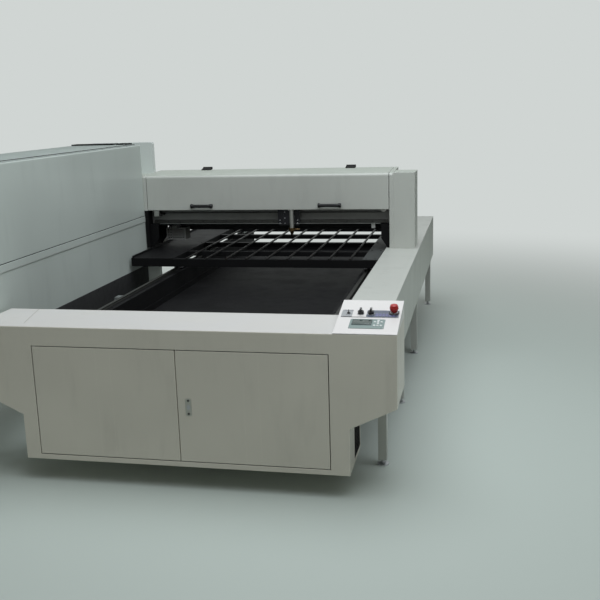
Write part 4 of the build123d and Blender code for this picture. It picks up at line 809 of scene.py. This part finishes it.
class CUTTER_OT_finishes(Operator):
    """Give every part of the frame its paint, metal or plastic"""
    bl_idname = "cutter.finishes"
    bl_label = "Finishes"

    def execute(self, context):
        make_finishes(context.scene.cutter_colours)
        slots = {part["node"]: part["material_slot"] for part in frame["record"]["subparts"]}
        # The rear housing takes the brighter copy of the cabinet enamel: painted light.
        slots.update(table_screw="screw_thread", rear_housing="cabinet_paint_painted_light", linear_guides="guide_dark",
                     travel_stops="stop_pair", lock_plate="lock_coat")
        for name, node in NODES.items():
            node.data.materials.clear()
            node.data.materials.append(FINISHES[slots[name]])
            for polygon in node.data.polygons:
                polygon.material_index = 0
        return DONE


class CUTTER_OT_front_details(Operator):
    """Add a painted shadow line across the shelf, a black sheet of painted shade on the wall beside the front
    cabinet, and screws on both
    """
    bl_idname = "cutter.front_details"
    bl_label = "Front cabinet details"

    def execute(self, context):
        low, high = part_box("front_cabinet")
        # A dark strip across the shelf along the edge of a cast shadow: painted shadow.
        start, end = Vector((-0.5000, low.y + 0.060, high.z)), Vector((-0.5690, high.y - 0.004, high.z))
        run = end - start
        turn = Matrix.Translation(start) @ Matrix.Rotation(math.atan2(run.y, run.x), 4, "Z")
        block_piece("shelf_painted_shadow_line", "machine", "shadow_line_paint",
                    [((0.0, -0.0012, 0.0), (run.length, 0.0012, 0.0006))], turn=turn)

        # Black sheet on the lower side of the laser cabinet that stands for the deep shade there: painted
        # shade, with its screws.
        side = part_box("laser_cabinet")[1].x - 0.003
        face = side + 0.0028
        block_piece("cabinet_side_shade_sheet", "machine", "rubber_seal",
                    [((side, low.y + 0.36, 0.430), (face, 0.262, 0.618))], 0.001)
        points = grid(RIGHT, face, spaced(low.y + 0.40, low.y + 2.08, 8), (0.445, 0.603))
        screws("cabinet_shade_sheet_screws", "machine", points, 0.0045, 0.0016, black=True)

        low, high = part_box("lock_plate")
        points = grid(FRONT, (low.x + high.x) / 2, low.y, (low.z + 0.010, high.z - 0.010))
        screws("lock_plate_screws", "door_right", points, 0.0046, 0.0016, black=True)
        points = corner_points(*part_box("side_vent"), 0, 1, 0.008)
        screws("side_vent_screws", "machine", points, 0.004, 0.0016, black=True)
        points = corner_points(*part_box("mounting_plate"), 1, -1, 0.018)
        bolts("mounting_plate_screws", "machine", points, 0.007, 0.005)

        points = []
        for low, middle, high in islands("drive_units"):
            xs = ((low.x + middle.x) / 2, (middle.x + high.x) / 2)
            points += grid(FRONT, xs, low.y, (low.z + 0.009, high.z - 0.009))
        screws("drive_unit_screws", "machine", points, 0.003, 0.0016)
        return DONE


class CUTTER_OT_console_face(Operator):
    """Add the display, keys, marks and rings of the console"""
    bl_idname = "cutter.console_face"
    bl_label = "Console face"

    def execute(self, context):
        x0, y0, x1, y1 = DISPLAY
        left, front, right, back = BEZEL
        console_piece("display_window", "display", [((x0, y0, 3.0), (x1, y1, 3.5))], 0.0002)
        strips = ((left, front, right, y0), (left, y1, right, back), (left, y0, x0, y1), (x1, y0, right, y1))
        console_piece("display_bezel", "bezel_grey",
                      [((a, b, 2.8), (c, d, 4.2)) for a, b, c, d in strips], 0.0004)
        self.keys()

        console_piece("switch_field", "field_slate",
                      [((121, 159.5, PLATE_FACE), (257.5, 226.5, FILM_FACE))])
        console_piece("switch_label_blank", "console_paint",
                      [((59, 159, PLATE_FACE), (121, 227, FILM_FACE))])
        # Dark lines above and below the label plate.
        console_piece("switch_label_dark_lines", "knob_black",
                      [((12.5, y, PLATE_FACE), (59, y + 3, FILM_FACE)) for y in (159, 223.5)])
        self.knob_marks()

        ring = (console_place(*STOP_PLACE), 0.0190, 0.0225, 0.0023, 0.0040)
        ring_piece("stop_button_ring", "machine", "knob_black", [ring])
        collars = [(console_place(x, SWITCH_ROW), 0.0136, 0.0156, 0.0021, 0.0038) for x in KNOBS.values()]
        collars.append((console_place(KEY_SWITCH, SWITCH_ROW), 0.0086, 0.0112, 0.0021, 0.0040))
        ring_piece("switch_collars", "machine", "screw_zinc", collars)

        switch_plate, keypad = ((16, 255), (162, 224)), ((63, 203), (53, 134))
        points = [(console_place(x, y, PLATE_FACE).translation, CONSOLE_UP)
                  for corners in (switch_plate, keypad) for x, y in product(*corners)]
        screws("console_plate_screws", "machine", points, 0.0026, 0.0012, socket=0.45)
        return DONE

    def keys(self):
        """Round keys on the keypad and square pads on the switch plate."""
        flat = CONSOLE.inverted()
        rows = {True: [], False: []}
        for _, middle, _ in islands("key_caps"):
            rows[(flat @ middle).y < SWITCH_PLATE_FRONT / 1000].append(middle)
        rows[False] += [console_place(x, PAD_ROW, 2.6).translation for x in EXTRA_PADS]
        for name, places, sides, radius, height, turn, finish in (
                ("keypad_keys", rows[True], 24, 0.0056, 0.0022, 0.0, "key_round"),
                ("switch_pads", rows[False], 4, 0.0078, 0.0014, math.pi / 4, "pad_violet")):
            points = [(place, CONSOLE_UP) for place in places]
            values = {"Sides": sides, "Radius": radius, "Height": height, "Turn": (0.0, 0.0, turn)}
            piece = grow(name, points, key_tree(), values, "machine", finish)
            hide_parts("key_caps")

    def knob_marks(self):
        """Position marks round both selectors, and the white line on each."""
        marks = bmesh.new()
        for right in KNOBS.values():
            for angle in (math.radians(turn) for turn in (-45, 0, 45)):
                spot = console_place(right + MARK_RADIUS * math.sin(angle),
                                     SWITCH_ROW + MARK_RADIUS * math.cos(angle), FILM_FACE)
                spot = spot @ Matrix.Rotation(-angle, 4, "Z")
                add_block(marks, (-0.0006, -0.0018, 0.0), (0.0006, 0.0018, 0.0003), 0.0, spot)
        finish_piece(marks, "switch_position_marks", "machine", "rubber_seal")
        for name, right in KNOBS.items():
            block_piece(name + "_pointer", name, "mark_white",
                        [((-0.0009, 0.001, 0.0), (0.0009, 0.0125, 0.0004))], 0.0001,
                        console_place(right, SWITCH_ROW, KNOB_TOP))


class CUTTER_OT_table_details(Operator):
    """Add bolts, wipers and rail screws of the table and its guides"""
    bl_idname = "cutter.table_details"
    bl_label = "Table details"

    def execute(self, context):
        sizes = context.scene.cutter_sizes
        points = []
        for low, middle, high in islands("table_slats"):
            points += grid(UP, middle.x, (low.y + 0.02, high.y - 0.02), high.z)
        screws("slat_screws", "table", points, 0.0038, 0.0015, black=True)

        points = []
        for name in ("wing_plate", "right_plate"):
            low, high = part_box(name)
            points += grid(UP, (low.x + 0.02, high.x - 0.02), spaced(low.y + 0.03, high.y - 0.03, 7), high.z)
        screws("table_plate_screws", "table", points, sizes.panel_screw, 0.0022, black=True)

        low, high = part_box("table_frame")
        left, right, front = -0.405, 0.772, high.y - 0.040
        block_piece("rear_tube_skirt", "table", "black_paint",
                    [((left, front, low.z - 0.018), (right, high.y - 0.037, low.z + 0.012)),
                     ((left, front, low.z - 0.021), (right, high.y - 0.022, low.z - 0.018))], 0.0005)
        low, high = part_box("wing_plate")
        block_piece("wing_edge_strip", "table", "black_paint",
                    [((low.x + 0.006, low.y + 0.004, high.z - 0.001),
                      (low.x + 0.009, high.y - 0.004, high.z + 0.0145))], 0.0005)

        self.guide_blocks()

        points = []
        for low, middle, high in islands("base_beams"):
            xs = (middle.x - 0.028, middle.x + 0.028)
            points += grid(UP, xs, paced(low.y + 0.04, high.y - 0.04, 0.24), high.z)
        screws("guide_rail_clamp_screws", "machine", points, 0.0055, 0.004, black=True)

        points = []
        for low, middle, high in islands("leg_frames"):
            upright, outer = high.z - low.z > 0.2, middle.x > 0.9 or -0.75 < middle.x < -0.6
            if upright and outer:
                side, face = (1, high.x) if middle.x > 0 else (-1, low.x)
                points += grid((side, 0, 0), face, middle.y, (0.42, 0.46))
        bolts("leg_frame_bolts", "machine", points, sizes.frame_bolt, 0.005)
        return DONE

    def guide_blocks(self):
        """Screws in both sides of each guide block, and two rubber lips at each end beside the rail."""
        points, lips = [], []
        for low, middle, high in islands("table_bearings"):
            if high.y - low.y < 0.095:  # the nut of the screw
                continue
            for side, face in ((-1, low.x), (1, high.x)):
                points += grid((side, 0, 0), face, (middle.y - 0.035, middle.y + 0.035), high.z - 0.009)
            for x0, x1 in ((low.x + 0.002, middle.x - 0.0105), (middle.x + 0.0105, high.x - 0.002)):
                for y0, y1 in ((low.y - 0.006, low.y), (high.y, high.y + 0.006)):
                    lips.append(((x0, y0, middle.z - 0.004), (x1, y1, middle.z + 0.015)))
        screws("guide_block_screws", "table", points, 0.0045, 0.003, black=True)
        block_piece("guide_block_wipers", "table", "rubber_seal", lips, 0.001)


class CUTTER_OT_bridge_details(Operator):
    """Add seals, screws and belt teeth of the bridge"""
    bl_idname = "cutter.bridge_details"
    bl_label = "Bridge details"

    def execute(self, context):
        sizes = context.scene.cutter_sizes
        lid_low, lid_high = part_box("bridge_lid")
        leaf = 0.022
        points = []
        for low, middle, _ in islands("lid_hinge_leaves"):
            xs = (middle.x - leaf, middle.x, middle.x + leaf)
            points += grid(UP, xs, low.y + 0.014, lid_high.z + 0.001)
        screws("lid_hinge_screws", "lid", points, 0.0042, 0.0022, black=True)
        points = []
        for low, middle, high in islands("rear_hinge_leaves"):
            xs = (middle.x - leaf, middle.x, middle.x + leaf)
            points += grid(BACK, xs, high.y - 0.013, low.z + 0.010)
        screws("rear_hinge_screws", "machine", points, 0.0038, 0.002, black=True)

        cap_low, cap_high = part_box("end_caps")
        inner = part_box("suction_box")[0].x - 0.065
        bottom, top = cap_low.z + 0.002, lid_low.z - 0.002
        # Black guard on the front and inner side of the end cap; the third block, a black sheet further back,
        # is painted shade that hides the backdrop.
        block_piece("left_cheek_shroud_and_shade_sheet", "machine", "black_paint", [
            ((cap_low.x + 0.001, cap_low.y - 0.0015, bottom), (inner, cap_low.y - 0.0002, top)),
            ((inner, cap_low.y - 0.0015, bottom), (inner + 0.0014, cap_low.y + 0.080, top)),
            ((inner - 0.005, cap_low.y + 0.204, cap_low.z + 0.005), (inner - 0.003, 0.641, 0.888))])

        low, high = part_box("rear_panel")
        face = high.y + 0.0025
        block_piece("rear_dust_curtain", "machine", "rubber_seal", [
            ((low.x + 0.004, high.y, low.z - 0.004), (high.x - 0.004, face, low.z + 0.022), 0.0005),
            ((low.x + 0.006, high.y - 0.0005, 0.806), (high.x - 0.006, high.y + 0.0015, low.z))])

        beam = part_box("bridge_beam")[0]
        block_piece("lower_rail_strip", "machine", "strip_steel",
                    [((-0.655, beam.y - 0.0155, beam.z + 0.0012), (0.872, beam.y - 0.0005, beam.z + 0.0040))],
                    0.0004)

        ys, zs = (cap_low.y + 0.025, cap_high.y - 0.025), (0.80, 0.87, 0.96, 1.06, 1.17)
        bolts("end_plate_screws", "machine", grid(RIGHT, cap_high.x, ys, zs), sizes.frame_bolt, 0.0045)
        xs = spaced(low.x + 0.03, high.x - 0.03, 9)
        points = grid(BACK, xs, face, low.z + 0.012) + grid(BACK, xs, high.y, high.z - 0.055)
        screws("rear_panel_screws", "machine", points, sizes.panel_screw, 0.003)

        self.belt(sizes.belt_pitch)
        points = []
        for low, middle, high in islands("linear_guides"):
            if high.x - low.x > high.y - low.y:
                xs = paced(low.x + 0.02, high.x - 0.02, sizes.rail_screw_pitch)
                points += grid(FRONT, xs, low.y, middle.z)
        screws("head_rail_screws", "machine", points, 0.0042, 0.0007, black=True)

        for name in ("idler_pulley", "drive_pulley"):
            low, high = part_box(name)
            place = Matrix.Translation(((low.x + high.x) / 2, low.y - 0.0001, (low.z + high.z) / 2))
            place = place @ Matrix.Rotation(math.pi / 2, 4, "X")
            ring_piece(name + "_flange", name, "aluminium",
                       [(place, 0.0078, 0.0125, 0.0, 0.0040)], 28)
        return DONE

    def belt(self, pitch):
        """Teeth on both runs of the belt, clear of the pulleys."""
        low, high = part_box("head_belt")
        start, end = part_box("idler_pulley")[0].x + 0.030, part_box("drive_pulley")[1].x - 0.030
        size, depth = (pitch * 0.45, high.y - low.y - 0.001, 0.0022), 0.0032
        for name, z in (("belt_teeth_upper", high.z - depth), ("belt_teeth_lower", low.z + depth)):
            bar_row(name, "belt_rubber", int((end - start) / pitch),
                    (start, (low.y + high.y) / 2, z), (pitch, 0.0, 0.0), size)


class CUTTER_OT_handles(Operator):
    """Replace the plain lid handles by moulded ones with waisted grips"""
    bl_idname = "cutter.handles"
    bl_label = "Lid handles"

    def execute(self, context):
        grips = bmesh.new()
        points = []
        for low, middle, high in islands("lid_handles"):
            foot = (high.z - low.z) * 0.7
            shares = spaced(0.0, 1.0, 25)
            add_bands(grips, [self.section(low, high, middle.z, foot, share) for share in shares])
            points += grid(FRONT, (low.x + foot * 0.5, high.x - foot * 0.5), low.y + 0.0015, middle.z)
        piece = finish_piece(grips, "lid_grips", "lid", "handle_black", 40.0)
        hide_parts("lid_handles")
        screws("lid_grip_screws", "lid", points, 0.0045, 0.0012, black=True)
        return DONE

    def section(self, low, high, level, foot, share):
        """Rounded square section at a share of the handle's length, wider and deeper at the feet."""
        width, waist, sides = high.x - low.x, 0.011, 12
        taper = 2 * foot / width
        end = max(0.0, (abs(share - 0.5) * 2 - (1 - taper)) / taper)
        swell = end * end * (3 - 2 * end)
        shorter = 0.004 if share in (0.0, 1.0) else 0.0
        half = waist + ((high.z - low.z) / 2 - waist) * swell - shorter
        nose = low.y + 0.0025 * (1 - swell) + shorter
        back = high.y if end > 0.12 else low.y + 0.013
        ring = []
        for angle in (2 * math.pi * step / sides for step in range(sides)):
            side, rise = math.sin(angle), math.cos(angle)
            square = max(abs(side), abs(rise)) ** 0.35 / 0.98
            y = (nose + back) / 2 + side / square * (back - nose) / 2
            z = min(max(rise / square * half, -half), half)
            ring.append((low.x + width * share, min(max(y, nose), back), level + z))
        return ring


class CUTTER_OT_head_details(Operator):
    """Add the screws of the cutting head and the adjusters of the mirror mount"""
    bl_idname = "cutter.head_details"
    bl_label = "Cutting head details"

    def execute(self, context):
        plate_face, slide_face = 0.314, 0.3055
        low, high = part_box("carriage")
        points = grid(FRONT, (low.x + 0.015, low.x + 0.035, high.x - 0.035, high.x - 0.015), plate_face,
                      (low.z + 0.015, low.z + 0.035, 1.055, 1.075))
        screws("carriage_screws", "head", points, 0.0042, 0.003)
        low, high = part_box("focus_slide")
        points = grid(FRONT, (low.x + 0.009, high.x - 0.009), slide_face, (0.895, 0.93, 0.97, 1.01, 1.04))
        screws("focus_slide_screws", "focus", points, 0.0034, 0.0025)

        knobs = bmesh.new()
        low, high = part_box("mirror_mount")
        front, back, bottom, top = low.y + 0.012, high.y - 0.012, low.z + 0.012, high.z - 0.012
        profile = ((0.0025, 0.0), (0.0025, 0.006), (0.0055, 0.007), (0.0055, 0.014), (0.004, 0.016))
        for y, z in ((front, bottom), (back, bottom), (front, top)):
            place = Matrix.Translation((high.x, y, z)) @ Matrix.Rotation(math.pi / 2, 4, "Y")
            add_turned(knobs, profile, place, 20)
        finish_piece(knobs, "mirror_adjusters", "machine", "screw_black")
        return DONE


class CUTTER_OT_laser_cabinet_details(Operator):
    """Add louvres, seals and panel screws of the laser cabinet and the rear housing"""
    bl_idname = "cutter.laser_cabinet_details"
    bl_label = "Laser cabinet details"

    def execute(self, context):
        sizes = context.scene.cutter_sizes
        count = sizes.louvre_count
        for number, (low, middle, high) in enumerate(islands("hood_vent"), 1):
            pitch = (high.y - low.y - 0.02) / (count - 1)
            bar_row(f"hood_vent_louvres_{number}", "vent_black", count,
                    (middle.x, low.y + 0.01, high.z - 0.0022), (0.0, pitch, 0.0),
                    (high.x - low.x - 0.02, pitch * 0.55, 0.0012), math.radians(7))
        self.hood_seals()

        panels = islands("service_panels")
        points = [point for low, _, high in panels for point in corner_points(low, high, 0, -1, 0.014)]
        screws("service_panel_screws", "machine", points, sizes.panel_screw, 0.0016)
        self.panel_seals(panels)

        low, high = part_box("rear_housing")
        points = grid(BACK, (low.x + 0.02, high.x - 0.02), high.y, spaced(low.z + 0.03, high.z - 0.03, 5))
        screws("rear_housing_screws", "machine", points, sizes.panel_screw, 0.0022)
        return DONE

    def hood_seals(self):
        """Seal under the hood, and the sheet in its top with the seal round it."""
        low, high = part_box("laser_hood")
        groove, gap = 0.002, 0.0004
        bottom, top = low.z + 0.0002, low.z + 0.0038
        seals = [((x, low.y + gap, bottom), (x + groove - gap, high.y - gap, top))
                 for x in (low.x + gap, high.x - groove)]
        seals.append(((low.x + groove, low.y + gap, bottom), (high.x - groove, low.y + groove, top)))
        block_piece("hood_seam_seal", "machine", "rubber_seal", seals)

        margin, rim = Vector((0.026, 0.026, 0.0)), 0.0015
        start, end = low + margin, high - margin
        bottom, top = high.z - 0.001, high.z + 0.0045
        block_piece("hood_lid_sheet", "machine", "cabinet_paint",
                    [((start.x + rim, start.y + rim, bottom), (end.x - rim, end.y - rim, top))], 0.0006)
        top -= 0.0008
        seals = [((x, start.y, bottom), (x + rim, end.y, top)) for x in (start.x, end.x - rim)]
        seals += [((start.x, y, bottom), (end.x, y + rim, top)) for y in (start.y, end.y - rim)]
        block_piece("hood_lid_seal", "machine", "rubber_seal", seals)

    def panel_seals(self, panels):
        """Rubber round each service panel."""
        width = 0.0045
        seals = []
        for low, _, high in panels:
            inner, outer = high.x - 0.0011, high.x - 0.0001
            seals += [((inner, y, low.z - width), (outer, y + width, high.z + width))
                      for y in (low.y - width, high.y)]
            seals += [((inner, low.y, z), (outer, high.y, z + width)) for z in (low.z - width, high.z)]
        block_piece("service_panel_seals", "machine", "rubber_seal", seals)


class CUTTER_OT_stage(Operator):
    """Build the floor, the soft light and the camera"""
    bl_idname = "cutter.stage"
    bl_label = "Studio"

    def execute(self, context):
        scene, stage = context.scene, context.scene.cutter_stage
        scene.view_settings.view_transform = "Standard"
        self.floor(scene, stage)
        self.lamps(scene, stage)
        self.surroundings(scene, stage)
        self.camera(scene, stage)
        return DONE

    def floor(self, scene, stage):
        data = bpy.data.meshes.new("studio_floor")
        corners = [(x, y, 0.0) for x, y in ((-40, -40), (40, -40), (40, 60), (-40, 60))]
        data.from_pydata(corners, [], [(0, 1, 2, 3)])
        data.materials.append(self.floor_paint(stage))
        plane = bpy.data.objects.new("studio_floor", data)
        scene.collection.objects.link(plane)

    def floor_paint(self, stage):
        """Matt floor that runs into the even backdrop far from the machine, for the camera only."""
        paint = Finish("studio_floor_paint", Roughness=0.7)
        patches = paint.noise(0.6).between(0.3, 0.7)
        colour = tuple(stage.floor_colour)
        paint.set("Base Color", paint.mix(patches * 0.3, colour, tinted(colour, 0.97)))
        where = paint.node("ShaderNodeTexCoord", output="Object")
        centre = {0: where, 1: (0.0, -1.0, 0.0)}
        reach = paint.node("ShaderNodeVectorMath", {"operation": "DISTANCE"}, centre, "Value")
        seen = paint.node("ShaderNodeLightPath", output="Is Camera Ray")
        even = {"Color": (*stage.backdrop_colour, 1.0), "Strength": 1.0}
        glow = paint.node("ShaderNodeEmission", None, even)
        shares = {0: reach.between(2.2, 7.5) * seen, 1: Value(paint, paint.surface.outputs[0]), 2: glow}
        paint.feed(paint.output.inputs["Surface"], paint.node("ShaderNodeMixShader", None, shares))
        return paint.material

    def lamps(self, scene, stage):
        """Large soft light overhead, and a fill behind on the left that leaves no highlight."""
        for name, place, aim, size, power, colour, mirrored in (
                ("overhead_softbox", (0.9, -1.2, 4.4), (0.0, 0.0, 0.0), (4.0, 5.4), stage.overhead,
                 (0.94, 0.99, 1.04), True),
                ("rear_fill", (-4.6, 6.2, 2.2), (-0.5, 0.0, 0.6), (5.0, 3.0), stage.fill,
                 (0.97, 1.0, 1.0), False)):
            lamp = bpy.data.lights.new(name, "AREA")
            lamp.shape = "RECTANGLE"
            lamp.size, lamp.size_y = size
            lamp.energy = power
            lamp.color = colour
            holder = bpy.data.objects.new(name, lamp)
            holder.location = place
            holder.rotation_euler = (Vector(aim) - Vector(place)).to_track_quat("-Z", "Y").to_euler()
            holder.visible_camera = False
            holder.visible_glossy = mirrored
            scene.collection.objects.link(holder)

    def surroundings(self, scene, stage):
        """Even light from all round, with the backdrop for the camera and in reflections."""
        scene.world = bpy.data.worlds.new("studio_world")
        scene.world.use_nodes = True
        graph = Graph(scene.world.node_tree)
        graph.tree.nodes.clear()
        path = graph.node("ShaderNodeLightPath", output="Is Camera Ray")
        seen = path.larger(path.out("Is Glossy Ray")).larger(path.out("Is Transmission Ray"))
        inputs = {"Color": (1.0, 0.98, 0.93, 1.0), "Strength": stage.ambient}
        around = graph.node("ShaderNodeBackground", None, inputs)
        inputs = {"Color": (*stage.backdrop_colour, 1.0), "Strength": 1.0}
        behind = graph.node("ShaderNodeBackground", None, inputs)
        both = graph.node("ShaderNodeMixShader", None, {0: seen, 1: around, 2: behind})
        end = graph.tree.nodes.new("ShaderNodeOutputWorld")
        graph.tree.links.new(both.socket, end.inputs["Surface"])

    def camera(self, scene, stage):
        """Camera at the place and angle from which the machine was photographed."""
        lens = bpy.data.cameras.new("viewpoint")
        lens.sensor_width = 36.0
        lens.lens = stage.focal
        lens.clip_end = 200.0
        holder = bpy.data.objects.new("viewpoint", lens)
        yaw, pitch, roll = (math.radians(a) for a in (-12.07, 12.59, -1.72))
        ahead = Vector((math.sin(yaw) * math.cos(pitch), math.cos(yaw) * math.cos(pitch), -math.sin(pitch)))
        right = Vector((math.cos(yaw), -math.sin(yaw), 0.0))
        down = ahead.cross(right)
        across = right * math.cos(roll) - down * math.sin(roll)
        below = right * math.sin(roll) + down * math.cos(roll)
        turn = Matrix((across, -below, -ahead)).transposed().to_4x4()
        holder.matrix_world = Matrix.Translation((1.5240, -5.3245, 1.6567)) @ turn
        scene.collection.objects.link(holder)
        scene.camera = holder


class CUTTER_PT_sidebar(Panel):
    """Steps that dress the machine, in order"""
    bl_idname = "CUTTER_PT_sidebar"
    bl_label = "Laser Cutter"
    bl_space_type = "VIEW_3D"
    bl_region_type = "UI"
    bl_category = "Laser Cutter"

    def draw(self, context):
        column = self.layout.column()
        for step in STEPS:
            column.operator(step.bl_idname)


STEPS = (
    CUTTER_OT_finishes,
    CUTTER_OT_front_details,
    CUTTER_OT_console_face,
    CUTTER_OT_table_details,
    CUTTER_OT_bridge_details,
    CUTTER_OT_handles,
    CUTTER_OT_head_details,
    CUTTER_OT_laser_cabinet_details,
    CUTTER_OT_stage,
)
GROUPS = {"cutter_colours": CutterColours, "cutter_sizes": CutterSizes, "cutter_stage": CutterStage}
CLASSES = (*GROUPS.values(), *STEPS, CUTTER_PT_sidebar)


def register():
    for kind in CLASSES:
        bpy.utils.register_class(kind)
    for name, group in GROUPS.items():
        setattr(bpy.types.Scene, name, PointerProperty(type=group))


def unregister():
    for name in GROUPS:
        delattr(bpy.types.Scene, name)
    for kind in reversed(CLASSES):
        bpy.utils.unregister_class(kind)


def main():
    register()
    for step in STEPS:
        group, name = step.bl_idname.split(".")
        if getattr(getattr(bpy.ops, group), name)() != DONE:
            raise RuntimeError(f"{step.bl_label} did not finish")


if __name__ == "__main__":
    main()
